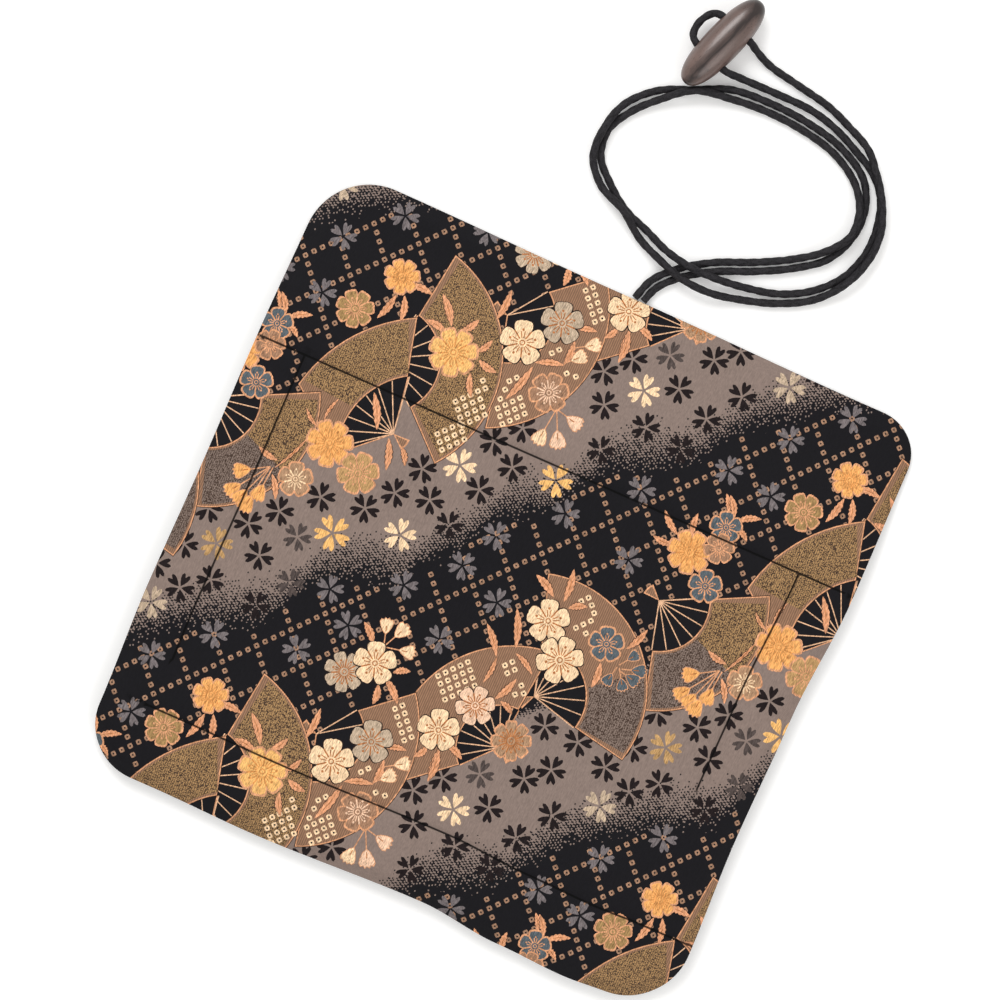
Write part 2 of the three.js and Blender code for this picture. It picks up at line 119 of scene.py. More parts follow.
# The doubled cord from the seam to where its strands part: x, y, lift, roll in degrees and spacing
DOUBLED_ROUTE = [
    (0.0037, 0.1210, 0, 0, 0.0034), (0.0064, 0.1284, 0, 0, 0.0034), (0.0134, 0.1360, 0, 0, 0.0034),
    (0.0247, 0.1435, 0, 0, 0.0034), (0.0382, 0.1495, 0, 0, 0.0034), (0.0512, 0.1565, 0, 5, 0.0034),
    (0.0612, 0.1641, 0, 35, 0.0036), (0.0670, 0.1740, 0, 75, 0.0037), (0.0668, 0.1845, 0, 55, 0.0037),
    (0.0615, 0.1944, 0, 5, 0.0036), (0.0497, 0.2017, 0, 0, 0.0034), (0.0352, 0.2052, 0, 0, 0.0034),
    (0.0192, 0.2063, 0, 0, 0.0034), (0.0042, 0.2051, 0, 20, 0.0037), (-0.0088, 0.2009, 0, 80, 0.0038),
    (-0.0202, 0.1941, 0, 20, 0.0037), (-0.0290, 0.1850, 0, -5, 0.0037), (-0.0332, 0.1745, 0, -65, 0.0039),
    (-0.0322, 0.1636, 0, -35, 0.0036), (-0.0253, 0.1556, 0, -20, 0.0037), (-0.0148, 0.1493, 0, -75, 0.0042),
    (-0.0044, 0.1437, 0.0009, -5, 0.0040), (0.0052, 0.1396, 0.0032, 0, 0.0042),
    (0.0152, 0.1370, 0.0036, 0, 0.0054), (0.0262, 0.1366, 0.0029, 0, 0.0058),
    (0.0382, 0.1386, 0, 0, 0.0048), (0.0512, 0.1422, 0, 0, 0.0036),
    (0.0627, 0.1486, 0, -5, 0.0034), (0.0712, 0.1582, 0, -45, 0.0036), (0.0754, 0.1695, 0, -50, 0.0034),
    (0.0754, 0.1805, 0, -60, 0.0034), (0.0714, 0.1918, 0, -88, 0.0034), (0.0655, 0.1994, 0, -75, 0.0034),
]
LOWER_STRAND = [
    (0.0562, 0.2042, 0.0016), (0.0458, 0.2089, 0.0016), (0.0347, 0.2117, 0.0016),
    (0.0192, 0.2122, 0.0016), (0.0052, 0.2120, 0.0028),
]
UPPER_STRAND = [
    (0.0596, 0.2066, 0.0038), (0.0492, 0.2120, 0.0016), (0.0398, 0.2156, 0.0016),
    (0.0262, 0.2183, 0.0016), (0.0132, 0.2209, 0.0018), (0.0062, 0.2238, 0.0044),
]
# Distance along the toggle from its middle, distance across it and height
THROUGH_TOGGLE = [
    (-0.0071, -0.0080, 0.0070), (-0.0071, 0, 0.0070), (-0.0071, 0.0065, 0.0070),
    (-0.0058, 0.0098, 0.0064), (-0.0022, 0.0115, 0.0056), (0.0022, 0.0115, 0.0056), (0.0058, 0.0098, 0.0064),
    (0.0071, 0.0065, 0.0070), (0.0071, 0, 0.0070), (0.0071, -0.0080, 0.0070),
]


def smooth(t):
    c = np.clip(t, 0, 1)
    return c * c * (3 - 2 * c)


def along(points, place):
    """Eases between the points of a short list of (place, value)."""
    value = np.full_like(place, points[0][1], dtype=float)
    for (start, first), (end, second) in zip(points, points[1:]):
        eased = first + (second - first) * smooth((place - start) / (end - start))
        value = np.where(place > start, eased, value)
    return value


def corner_radius(u, v):
    radius = np.zeros_like(u)
    for (side, end), value in CORNER_RADIUS.items():
        radius = np.where((u * side >= 0) & (v * end >= 0), value, radius)
    return radius


def wander(x, y):
    side = np.where(x > 0, -along(RIGHT_WANDER, y), along(LEFT_WANDER, y)) * (x / HALF_WIDTH) ** 2
    end = np.where(y > 0, -along(BACK_WANDER, x), along(FRONT_WANDER, x)) * (y / HALF_DEPTH) ** 2
    return side, end


def plan(u, v):
    """Takes points of the flat rectangle to the real outline."""
    radius = corner_radius(u, v)
    a = (np.abs(u) - (HALF_WIDTH - radius)) / radius
    b = (np.abs(v) - (HALF_DEPTH - radius)) / radius
    corner = (a > 0) & (b > 0)
    low, high = np.minimum(a, b), np.maximum(np.maximum(a, b), 1e-9)
    turn = np.where(a >= b, low / high, 2 - low / high) * math.pi / 4
    x = np.where(corner, np.sign(u) * (HALF_WIDTH - radius + radius * high * np.cos(turn)), u)
    y = np.where(corner, np.sign(v) * (HALF_DEPTH - radius + radius * high * np.sin(turn)), v)
    side, end = wander(x, y)
    return x + side, y + end


def flat(x, y):
    """The flat rectangle's point for each place on the real outline: plan() the other way round."""
    straight_x, straight_y = x.copy(), y.copy()
    for _ in range(6):
        side, end = wander(straight_x, straight_y)
        straight_x, straight_y = x - side, y - end
    radius = corner_radius(straight_x, straight_y)
    dx = np.abs(straight_x) - (HALF_WIDTH - radius)
    dy = np.abs(straight_y) - (HALF_DEPTH - radius)
    corner = (dx > 0) & (dy > 0)
    reach = np.hypot(dx, dy) / radius
    part = np.arctan2(dy, dx) / (math.pi / 4)
    a = np.where(part <= 1, reach, reach * (2 - part))
    b = np.where(part <= 1, reach * part, reach)
    u = np.where(corner, np.sign(straight_x) * (HALF_WIDTH - radius + radius * a), straight_x)
    v = np.where(corner, np.sign(straight_y) * (HALF_DEPTH - radius + radius * b), straight_y)
    return u, v


def from_edge(u, v):
    return np.minimum(HALF_WIDTH - np.abs(u), HALF_DEPTH - np.abs(v))


def lining_under(u, v):
    beyond_u = np.maximum(np.maximum(SLOT_LEFT - u, u - FLAP_ROOT), 0)
    beyond_v = np.maximum(np.maximum(SLOT_FRONT - v, v - SLOT_BACK), 0)
    return PLATEAU * (1 - smooth(np.hypot(beyond_u, beyond_v) / DRAPE_RUN))


def seam_places(u, v):
    """For each seam, how far aside of it each point lies, and how much of the seam is left there."""
    for across, at, start, end in SEAMS:
        aside, place = (u, v) if across == "u" else (v, u)
        beyond = np.maximum(np.maximum(start - place, place - end), 0)
        yield np.abs(aside - at), 1 - smooth(beyond / SEAM_FADE)


def seam_groove(u, v):
    depths = [(1 - smooth(np.sqrt(aside / SEAM_REACH))) * left for aside, left in seam_places(u, v)]
    return SEAM_DEPTH * np.maximum.reduce(depths)


def seam_painted_shade(u, v):
    """Painted shade along each seam's groove: 1 on a seam's row of stitches and 0 beside it."""
    lines = [np.maximum(1 - aside / SEAM_LINE, 0) * left for aside, left in seam_places(u, v)]
    return np.maximum.reduce(lines)


def padding_height(u, v):
    inwards = np.clip((from_edge(u, v) - PADDING_INSET) / RIM_ROUND, 0, 1)
    full = PADDING_EDGE + (PADDING_THICKNESS - PADDING_EDGE) * np.sqrt(1 - (1 - inwards) ** 2)
    return full - seam_groove(u, v) * inwards


def shell_under(u, v):
    over_padding = smooth(from_edge(u, v) / PADDING_INSET)
    height = np.where(from_edge(u, v) < PADDING_INSET, PADDING_EDGE, padding_height(u, v))
    loft = LAYER_GAP + (height + LAYER_GAP) * over_padding
    return lining_under(u, v) + LINING_THICKNESS + loft


def shell_over(u, v):
    return shell_under(u, v) + SHELL_THICKNESS


HIDDEN_SHARE = 0.01


def add_object(name, data):
    thing = bpy.data.objects.new(name, data)
    bpy.context.scene.collection.objects.link(thing)
    return thing


def add_mesh(name, vertices, faces, material):
    mesh = bpy.data.meshes.new(name)
    mesh.from_pydata([tuple(float(c) for c in vertex) for vertex in vertices], [], faces)
    mesh.validate()
    mesh.update()
    mesh.shade_smooth()
    mesh.materials.append(material)
    piece = add_object(name, mesh)
    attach(piece, "root")
    return piece


def add_point_values(piece, name, values):
    piece.data.attributes.new(name, "FLOAT", "POINT").data.foreach_set("value", values)


def tube_faces(first, rings, sides):
    """The faces between rings of points that follow one another."""
    faces = []
    for a in range(first, first + (rings - 1) * sides, sides):
        b = a + sides
        for side in range(sides):
            after = (side + 1) % sides
            faces.append((a + side, b + side, b + after, a + after))
    return faces


def add_bake_map(piece, top_faces):
    """Maps the first faces as seen from straight above, and the rest, which hardly show, to one corner."""
    mesh = piece.data
    places = np.empty(len(mesh.vertices) * 3)
    mesh.vertices.foreach_get("co", places)
    corners = np.empty(len(mesh.loops), dtype=int)
    mesh.loops.foreach_get("vertex_index", corners)
    counts = np.empty(len(mesh.polygons), dtype=int)
    mesh.polygons.foreach_get("loop_total", counts)
    share = np.repeat(np.where(np.arange(len(counts)) < top_faces, 1.0, HIDDEN_SHARE), counts)
    x, y = places.reshape(-1, 3)[corners, :2].T
    mapped = np.stack([(x / HALF_WIDTH + 1) / 2 * share, (y / HALF_DEPTH + 1) / 2 * share], axis=1)
    layer = mesh.uv_layers.new(name="OFBake")
    layer.data.foreach_set("uv", np.clip(mapped, 0, 1).ravel())


class Nodes:
    """Short calls for building one procedural material."""

    def __init__(self, name):
        self.material = bpy.data.materials.new(name)
        self.material.use_nodes = True
        self.tree = self.material.node_tree
        self.shader = self.tree.nodes["Principled BSDF"]

    def add(self, kind, **settings):
        node = self.tree.nodes.new(kind)
        for key, value in settings.items():
            if key in node.inputs.keys():
                self.feed(value, node.inputs[key])
            else:
                setattr(node, key, value)
        return node

    def feed(self, value, socket):
        if isinstance(value, bpy.types.NodeSocket):
            self.tree.links.new(value, socket)
        else:
            socket.default_value = value

    def math(self, operation, first, second=0.0, third=0.0):
        node = self.add("ShaderNodeMath", operation=operation)
        for value, socket in zip((first, second, third), node.inputs):
            self.feed(value, socket)
        return node.outputs[0]

    def mix(self, factor, first, second):
        node = self.add("ShaderNodeMix", data_type="RGBA")
        self.feed(factor, node.inputs[0])
        self.feed(first, node.inputs[6])
        self.feed(second, node.inputs[7])
        return node.outputs[2]

    def place(self):
        return self.add("ShaderNodeTexCoord").outputs["Object"]

    def noise(self, scale, detail=2.0, vector=None):
        node = self.add("ShaderNodeTexNoise", Scale=scale, Detail=detail)
        self.feed(vector or self.place(), node.inputs["Vector"])
        return node.outputs["Fac"]

    def wave(self, pitch, direction):
        """A sine from 0 to 1 along X, Y, Z or DIAGONAL, with its pitch in metres."""
        scale = 2 * math.pi / 20 / pitch
        node = self.add("ShaderNodeTexWave", bands_direction=direction, Scale=scale, Distortion=0.0)
        self.feed(self.place(), node.inputs["Vector"])
        return node.outputs["Fac"]

    def bump(self, height, depth, strength=1.0):
        node = self.add("ShaderNodeBump", Strength=strength, Distance=depth)
        self.feed(height, node.inputs["Height"])
        self.feed(node.outputs["Normal"], self.shader.inputs["Normal"])

    def set(self, **values):
        for key, value in values.items():
            self.feed(value, self.shader.inputs[key.replace("_", " ")])


def tint(red, green, blue):
    """A colour written as 0 to 255, as linear light."""
    def linear(part):
        part /= 255
        return part / 12.92 if part <= 0.04045 else ((part + 0.055) / 1.055) ** 2.4
    return (linear(red), linear(green), linear(blue), 1.0)


# Camera: straight above, turned as the photograph is, far enough away to see hardly any perspective.
# The width of its view is measured at the cloth's height.
CAMERA_HEIGHT = 1.6
VIEW_WIDTH = 0.3728
VIEW_MIDDLE = (-0.0138, 0.0314)
VIEW_TURN = 23.7
CAMERA_SENSOR = 36.0
CAMERA_CLIP = (0.05, 20)
CLOTH_HEIGHT = 0.008


def make_camera():
    data = bpy.data.cameras.new("camera")
    data.sensor_width = CAMERA_SENSOR
    data.lens = CAMERA_SENSOR * (CAMERA_HEIGHT - CLOTH_HEIGHT) / VIEW_WIDTH
    data.clip_start, data.clip_end = CAMERA_CLIP
    camera = add_object("camera", data)
    camera.location = (*VIEW_MIDDLE, CAMERA_HEIGHT)
    camera.rotation_euler = (0, 0, math.radians(VIEW_TURN))
    bpy.context.scene.camera = camera
    bpy.context.scene.view_settings.view_transform = "Standard"


# Light: two large soft panels and a pale world, over a floor that the camera sees as white
PANELS = {"key": ((-0.9, 1.1, 1.5), 1.0, 19.5), "fill": ((1.3, -0.7, 1.3), 1.4, 9.5)}
WORLD_TINT = (1, 0.985, 0.96, 1)
WORLD_STRENGTH = 0.7
WHITE = (1, 1, 1, 1)
FLOOR_SIZE = 6.0
FLOOR_DROP = 0.0002
FLOOR_SHADE = 0.9
FLOOR_LIFT = 0.2


def add_panel(name, place, size, power):
    data = bpy.data.lights.new(name, "AREA")
    data.shape = "SQUARE"
    data.size = size
    data.energy = power
    lamp = add_object(name, data)
    lamp.location = place
    lamp.rotation_euler = (-Vector(place)).to_track_quat("-Z", "Y").to_euler()


def make_stage():
    world = bpy.data.worlds.new("studio")
    world.use_nodes = True
    tree = world.node_tree
    seen = tree.nodes.new("ShaderNodeLightPath")
    backdrop = tree.nodes.new("ShaderNodeBackground")
    backdrop.inputs["Color"].default_value = WHITE
    backdrop.inputs["Strength"].default_value = 1.0
    light = tree.nodes["Background"]
    light.inputs["Color"].default_value = WORLD_TINT
    light.inputs["Strength"].default_value = WORLD_STRENGTH
    choice = tree.nodes.new("ShaderNodeMixShader")
    tree.links.new(seen.outputs["Is Camera Ray"], choice.inputs[0])
    tree.links.new(light.outputs[0], choice.inputs[1])
    tree.links.new(backdrop.outputs[0], choice.inputs[2])
    tree.links.new(choice.outputs[0], tree.nodes["World Output"].inputs["Surface"])
    bpy.context.scene.world = world
    for name, settings in PANELS.items():
        add_panel(name, *settings)

    nodes = Nodes("floor")
    seen = nodes.add("ShaderNodeLightPath").outputs["Is Camera Ray"]
    nodes.set(Base_Color=(FLOOR_SHADE, FLOOR_SHADE, FLOOR_SHADE, 1), Roughness=0.9)
    nodes.set(Emission_Color=WHITE, Emission_Strength=nodes.math("MULTIPLY", seen, FLOOR_LIFT))
    corners = [(x * FLOOR_SIZE / 2, y * FLOOR_SIZE / 2, 0) for x, y in ((-1, -1), (1, -1), (1, 1), (-1, 1))]
    mesh = bpy.data.meshes.new("floor")
    mesh.from_pydata(corners, [], [(0, 1, 2, 3)])
    mesh.materials.append(nodes.material)
    floor = add_object("floor", mesh)
    floor.location.z = -FLOOR_DROP


def split_strands():
    """The two strands of the doubled route, the left one first."""
    strands = [[], []]
    last = len(DOUBLED_ROUTE) - 1
    for i, (x, y, lift, roll, spacing) in enumerate(DOUBLED_ROUTE):
        before, after = DOUBLED_ROUTE[max(i - 1, 0)], DOUBLED_ROUTE[min(i + 1, last)]
        ahead = (0, 1) if i == 0 else (after[0] - before[0], after[1] - before[1])
        length = math.hypot(*ahead)
        aside = math.cos(math.radians(roll)) * spacing / 2
        above = math.sin(math.radians(roll)) * spacing / 2
        middle = CORD_RADIUS + CORD_LIFT + lift + abs(above)
        for side, strand in zip((1, -1), strands):
            shift_x = -ahead[1] / length * aside * side
            shift_y = ahead[0] / length * aside * side
            strand.append((x + shift_x, y + shift_y, middle + above * side))
    return strands


def cord_points():
    left, right = split_strands()
    cos, sin = math.cos(math.radians(TOGGLE_TURN)), math.sin(math.radians(TOGGLE_TURN))
    in_toggle = [
        (TOGGLE_SPOT[0] + cos * s - sin * t, TOGGLE_SPOT[1] + sin * s + cos * t, z)
        for s, t, z in THROUGH_TOGGLE
    ]
    return left + LOWER_STRAND + in_toggle + (right + UPPER_STRAND)[::-1]


def resample(points, step):
    """Points a step apart on a smooth centripetal curve through the given ones."""
    points = [Vector(point) for point in points]
    points = [2 * points[0] - points[1], *points, 2 * points[-1] - points[-2]]
    dense = []
    for p0, p1, p2, p3 in zip(points, points[1:], points[2:], points[3:]):
        t1 = (p1 - p0).length ** 0.5
        t2 = t1 + (p2 - p1).length ** 0.5
        t3 = t2 + (p3 - p2).length ** 0.5
        for k in range(CURVE_STEPS):
            t = t1 + (t2 - t1) * k / CURVE_STEPS
            a1 = p0 * ((t1 - t) / t1) + p1 * (t / t1)
            a2 = p1 * ((t2 - t) / (t2 - t1)) + p2 * ((t - t1) / (t2 - t1))
            a3 = p2 * ((t3 - t) / (t3 - t2)) + p3 * ((t - t2) / (t3 - t2))
            b1 = a1 * ((t2 - t) / t2) + a2 * (t / t2)
            b2 = a2 * ((t3 - t) / (t3 - t1)) + a3 * ((t - t1) / (t3 - t1))
            dense.append(b1 * ((t2 - t) / (t2 - t1)) + b2 * ((t - t1) / (t2 - t1)))
    dense.append(points[-2])
    places = [0.0]
    for first, second in zip(dense, dense[1:]):
        places.append(places[-1] + (second - first).length)
    wanted = np.linspace(0, places[-1], round(places[-1] / step) + 1)
    spots = [np.interp(wanted, places, along_axis) for along_axis in zip(*dense)]
    return [Vector(spot) for spot in zip(*spots)]


CURVE_STEPS = 24

# Braid: points round the cord, their step along it, plaits, length of one plait, and how far plaits stand out
BRAID_SIDES = 24
BRAID_STEP = 0.00042
BRAID_PLAITS = 8
BRAID_PITCH = 0.0046
BRAID_RELIEF = 0.00024
CORD_BLACK = tint(4, 4, 5)
CORD_GREY = tint(54, 52, 56)


def braid_material():
    nodes = Nodes("braided_cord")
    plait = nodes.add("ShaderNodeAttribute", attribute_name="plait").outputs["Fac"]
    fleck = nodes.noise(2600, 3.0)
    # The grey flecks are the cord's own; the plait term lightens each plait's crest and darkens the hollows
    # between plaits, which is painted shade
    shade = nodes.math("MULTIPLY_ADD", fleck, 1.6, nodes.math("MULTIPLY_ADD", plait, 0.3, -0.5))
    nodes.set(Base_Color=nodes.mix(shade, CORD_BLACK, CORD_GREY))
    nodes.set(Roughness=0.7, Specular_IOR_Level=0.2)
    nodes.bump(fleck, 0.0002, 0.5)
    return nodes.material


def braid_height(around, ahead):
    """Two sets of plaits that cross over and under, as a height from 0 to 1."""
    first = BRAID_PLAITS / 2 * around + ahead
    second = BRAID_PLAITS / 2 * around - ahead
    over = math.sin(math.pi * (first - second) / 2) * math.sin(math.pi * (first + second) / 2)
    crest_first = math.cos(math.pi * (first % 1 - 0.5))
    crest_second = math.cos(math.pi * (second % 1 - 0.5))
    return crest_first if over > 0 else crest_second


def make_cord():
    spots = resample(cord_points(), BRAID_STEP)
    for spot in spots:
        spot.z = max(spot.z, CORD_RADIUS)
    vertices, heights = [], []
    side = Vector((0, 0, 1)).cross(spots[1] - spots[0]).normalized()
    for i, spot in enumerate(spots):
        ahead = (spots[min(i + 1, len(spots) - 1)] - spots[max(i - 1, 0)]).normalized()
        side = (side - ahead * side.dot(ahead)).normalized()
        up = ahead.cross(side)
        for k in range(BRAID_SIDES):
            around = k / BRAID_SIDES
            height = braid_height(around, i * BRAID_STEP / BRAID_PITCH)
            radius = CORD_RADIUS - BRAID_RELIEF * (1 - height)
            angle = 2 * math.pi * around
            vertices.append(spot + side * (radius * math.cos(angle)) + up * (radius * math.sin(angle)))
            heights.append(height)
    faces = [(a, d, c, b) for a, b, c, d in tube_faces(0, len(spots), BRAID_SIDES)]
    faces.append(tuple(reversed(range(BRAID_SIDES))))
    faces.append(tuple(range(len(vertices) - BRAID_SIDES, len(vertices))))
    cord = add_mesh("tie_cord", vertices, faces, braid_material())
    # Plait heights for the material, which paints shade into the hollows between plaits
    add_point_values(cord, "plait", heights)
    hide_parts("cord")
    return cord, spots


WOOD_DARK = tint(74, 58, 54)
WOOD_LIGHT = tint(136, 112, 104)
# Dark colour of the grain streaks and of the painted reflection band along the barrel
WOOD_GRAIN_AND_REFLECTION = tint(38, 26, 24)
WOOD_PORE = tint(30, 22, 20)
# The painted dark reflection along the barrel: its width, how far it wanders and where from; then the dark
# end's slope and start
REFLECTION_BAND_WIDTH = 0.0026
REFLECTION_BAND_WANDER = 0.005
REFLECTION_BAND_ASIDE = -0.0035
DARK_END = (900.0, -1.3)
PORE_LEVEL = 0.36
GRAIN_STRETCH = 8


def wood_material():
    nodes = Nodes("toggle_wood")
    grained = nodes.add(
        "ShaderNodeMapping", vector_type="TEXTURE", Location=(*TOGGLE_SPOT, 0),
        Rotation=(0, 0, math.radians(TOGGLE_TURN - 90)), Scale=(1, GRAIN_STRETCH, 1), Vector=nodes.place(),
    ).outputs[0]
    grain = nodes.noise(900, 4.0, grained)
    broad = nodes.noise(240, 2.0, grained)
    pores = nodes.noise(3600, 2.0, grained)
    spot = nodes.add("ShaderNodeSeparateXYZ", Vector=grained)
    # A dark band along the barrel, a little aside of its middle, is painted reflection; the grain streaks and
    # the dark end share its colour
    aside = nodes.math("MULTIPLY_ADD", nodes.noise(420, 3.0, grained), REFLECTION_BAND_WANDER, REFLECTION_BAND_ASIDE)
    aside = nodes.math("ABSOLUTE", nodes.math("ADD", spot.outputs[0], aside))
    reflection_band = nodes.math("MAXIMUM", nodes.math("MULTIPLY_ADD", aside, -1 / REFLECTION_BAND_WIDTH, 1.0), 0.0)
    end = nodes.math("MAXIMUM", nodes.math("MULTIPLY_ADD", spot.outputs[1], *DARK_END), 0.0)
    dark = nodes.math("MINIMUM", nodes.math("ADD", reflection_band, end), 1.0)
    body = nodes.mix(broad, WOOD_DARK, WOOD_LIGHT)
    streaks = nodes.math("MULTIPLY_ADD", grain, 0.36, nodes.math("MULTIPLY", dark, 0.85))
    streaked = nodes.mix(streaks, body, WOOD_GRAIN_AND_REFLECTION)
    dark_pores = nodes.math("LESS_THAN", pores, PORE_LEVEL)
    nodes.set(Base_Color=nodes.mix(nodes.math("MULTIPLY", dark_pores, 0.6), streaked, WOOD_PORE))
    nodes.set(Roughness=0.3, Coat_Weight=0.35, Coat_Roughness=0.2)
    nodes.bump(pores, 0.0001, 0.25)
    return nodes.material


TOGGLE_STATIONS = 72
TOGGLE_SIDES = 96
DRILL_SIDES = 40
SHARP_ANGLE = 40


def make_toggle():
    vertices = []
    for i in range(1, TOGGLE_STATIONS):
        part = -math.cos(math.pi * i / TOGGLE_STATIONS)
        radius = TOGGLE_RADIUS * (1 - abs(part) ** BARREL_START) ** (1 / BARREL_END)
        for k in range(TOGGLE_SIDES):
            angle = 2 * math.pi * k / TOGGLE_SIDES
            vertices.append((radius * math.cos(angle), part * TOGGLE_LENGTH / 2, radius * math.sin(angle)))
    faces = tube_faces(0, TOGGLE_STATIONS - 1, TOGGLE_SIDES)
    start, end = len(vertices), len(vertices) + 1
    last = len(vertices) - TOGGLE_SIDES
    vertices += [(0, -TOGGLE_LENGTH / 2, 0), (0, TOGGLE_LENGTH / 2, 0)]
    for k in range(TOGGLE_SIDES):
        after = (k + 1) % TOGGLE_SIDES
        faces.append((start, k, after))
        faces.append((end, last + after, last + k))
    toggle = add_mesh("toggle_barrel", vertices, faces, wood_material())
    for side in (-1, 1):
        drill = bmesh.new()
        bmesh.ops.create_cone(
            drill, cap_ends=True, segments=DRILL_SIDES,
            radius1=TOGGLE_HOLE_RADIUS, radius2=TOGGLE_HOLE_RADIUS, depth=TOGGLE_RADIUS * 3,
        )
        bmesh.ops.rotate(drill, matrix=Matrix.Rotation(math.pi / 2, 3, "Y"), verts=drill.verts)
        bmesh.ops.translate(drill, vec=(0, side * TOGGLE_HOLE_SPACING / 2, 0), verts=drill.verts)
        mesh = bpy.data.meshes.new("drill")
        drill.to_mesh(mesh)
        drill.free()
        cutter = add_object("drill", mesh)
        cut = toggle.modifiers.new("hole", "BOOLEAN")
        cut.object, cut.solver = cutter, "EXACT"
        bpy.context.view_layer.objects.active = toggle
        bpy.ops.object.modifier_apply(modifier="hole")
        bpy.data.objects.remove(cutter)
    turn = Matrix.Rotation(math.radians(TOGGLE_TURN - 90), 4, "Z")
    toggle.data.transform(Matrix.Translation((*TOGGLE_SPOT, TOGGLE_RADIUS)) @ turn)
    toggle.data.shade_smooth()
    toggle.data.set_sharp_from_angle(angle=math.radians(SHARP_ANGLE))
    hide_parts("toggle")
    return toggle


# The brocade's drawing, in millimetres on the panel. Its repeat fills the cloth by two steps, and NEAR
# counts the repeats that the cloth holds along each.
REPEAT_STEPS = ((183.5, -2.4), (-2.4, -171.4))
NEAR = (-1, 0, 1)

BLACK = tint(21, 20, 24)
TAUPE = tint(136, 119, 111)
DARK_PETAL = tint(30, 22, 23)
FADED_PETAL = tint(78, 68, 65)
GREY_PETAL = tint(114, 106, 107)
CREAM = tint(242, 208, 168)
PALE_PINK = tint(236, 196, 166)
GOLD = tint(184, 146, 98)
YELLOW = tint(236, 182, 112)
ORANGE = tint(234, 168, 100)
LEAF = tint(220, 156, 116)
BROWN = tint(160, 128, 84)
TAN = tint(172, 136, 106)
GREY_TAN = tint(190, 168, 144)
BLUE = tint(88, 97, 103)
FAN_BROWN = tint(160, 122, 96)
CURD_GOLD = tint(182, 144, 98)
CURD_GREY = tint(140, 122, 112)
CURD_DARK = tint(66, 50, 42)
EDGE = tint(216, 156, 116)
LINE = tint(176, 112, 66)
FINE_LINE = tint(210, 142, 80)
OUTLINE = tint(40, 28, 24)
RIB = tint(226, 180, 144)
NET = tint(160, 124, 100)

# Where taupe gives way to black below each cloud band, and where it does above, left to right
BAND_LOW = [
    (-121, -64), (-105, -51), (-95, -46), (-84, -41), (-75, -35), (-68, -20), (-62, -13), (-52, -8),
    (-37, -4),
    (-29, 9), (-19, 20), (-13, 33), (-7, 37), (3, 42), (12, 58), (20, 69), (30, 72), (45, 80), (51, 90),
    (62.5, 105),
]
BAND_HIGH = [(-121, 18), (-98, 30), (-86, 46), (-70, 62), (-40, 78), (-10, 84), (20, 128), (62.5, 170)]
BAND_SOFT = 28
BAND_TOP_SOFT = 6

# Blossoms with five separate petals, by colour: x, y, radius and turn of one petal in degrees
BLOSSOMS = {
    DARK_PETAL: [
        (38.5, 111.4, 5.6, 80), (46.4, 118.5, 5.6, 75), (53.5, 103, 5.6, 90),
        (10.5, 99.6, 5.6, 96), (30.8, 96.2, 5.6, 70), (44.6, 90, 5.6, 84), (2.4, 91, 5.6, 100),
        (7.5, 79.4, 5.6, 82), (25, 78, 5.6, 92), (40.3, 76, 5.6, 74), (13, 63.5, 5.4, 88),
        (-24.8, 50.4, 5.6, 96), (-14.5, 44.3, 5.6, 82), (-16.8, 59.3, 5.6, 70),
        (-22.4, 31.8, 5.6, 88), (-45, 30.4, 5.6, 100), (-37.7, 20.9, 5.6, 76),
        (-50.7, 18.1, 5.6, 92), (-27.5, 15.2, 5.4, 84), (-58.6, 8.4, 5.6, 72),
        (-75.3, 5.6, 5.6, 94), (-87.3, -5.4, 5.6, 92), (-96, -14.2, 5.6, 62),
        (-87.5, -23.5, 5.6, 70), (-100.5, -39, 5.4, 60), (-81.4, -41, 5.4, 78),
        (-109.8, -46.3, 5.6, 82), (-111.9, -14.9, 5.6, 100), (-114.8, -30.8, 5.4, 86),
        (35.3, -39, 5.4, 76), (48.9, -39.5, 5.6, 88), (61.9, -44, 5.6, 96),
    ],
    FADED_PETAL: [(22.7, 106.4, 5.4, 84), (-77.3, -11.5, 5.4, 85), (-72.8, -28.1, 5.4, 88)],
    CREAM: [(18.9, 90.3, 6.2, 90), (-32.7, 37.2, 6.4, 84), (-42.7, 4.5, 6.2, 96)],
    YELLOW: [(2.3, 46.3, 6.4, 80), (-66, -4.9, 6.8, 62)],
    GOLD: [(-103.9, -25.8, 6.2, 92)],
    GREY_PETAL: [
        (-88.9, 114.4, 5.5, 84), (-105.5, 75.5, 5.5, 92), (59.8, 75.7, 5.5, 96),
        (-9.8, 18.6, 5.5, 84), (-16.8, 3.4, 5.5, 70), (0.5, -4, 5.5, 90), (38.9, 30.2, 5.5, 82),
        (10.5, 36.5, 5.5, 94), (32.8, 56, 5.5, 86), (-107, 98, 5.3, 90), (-46.8, -34, 5.5, 54),
        (-13.6, -25.1, 5.5, 70), (-33.9, -12, 5.5, 20), (-58.4, -24.4, 5.3, 24),
        (-60.7, -49.9, 5.5, 56),
    ],
    GREY_TAN: [(68.3, 113.4, 6.2, 84)],
}

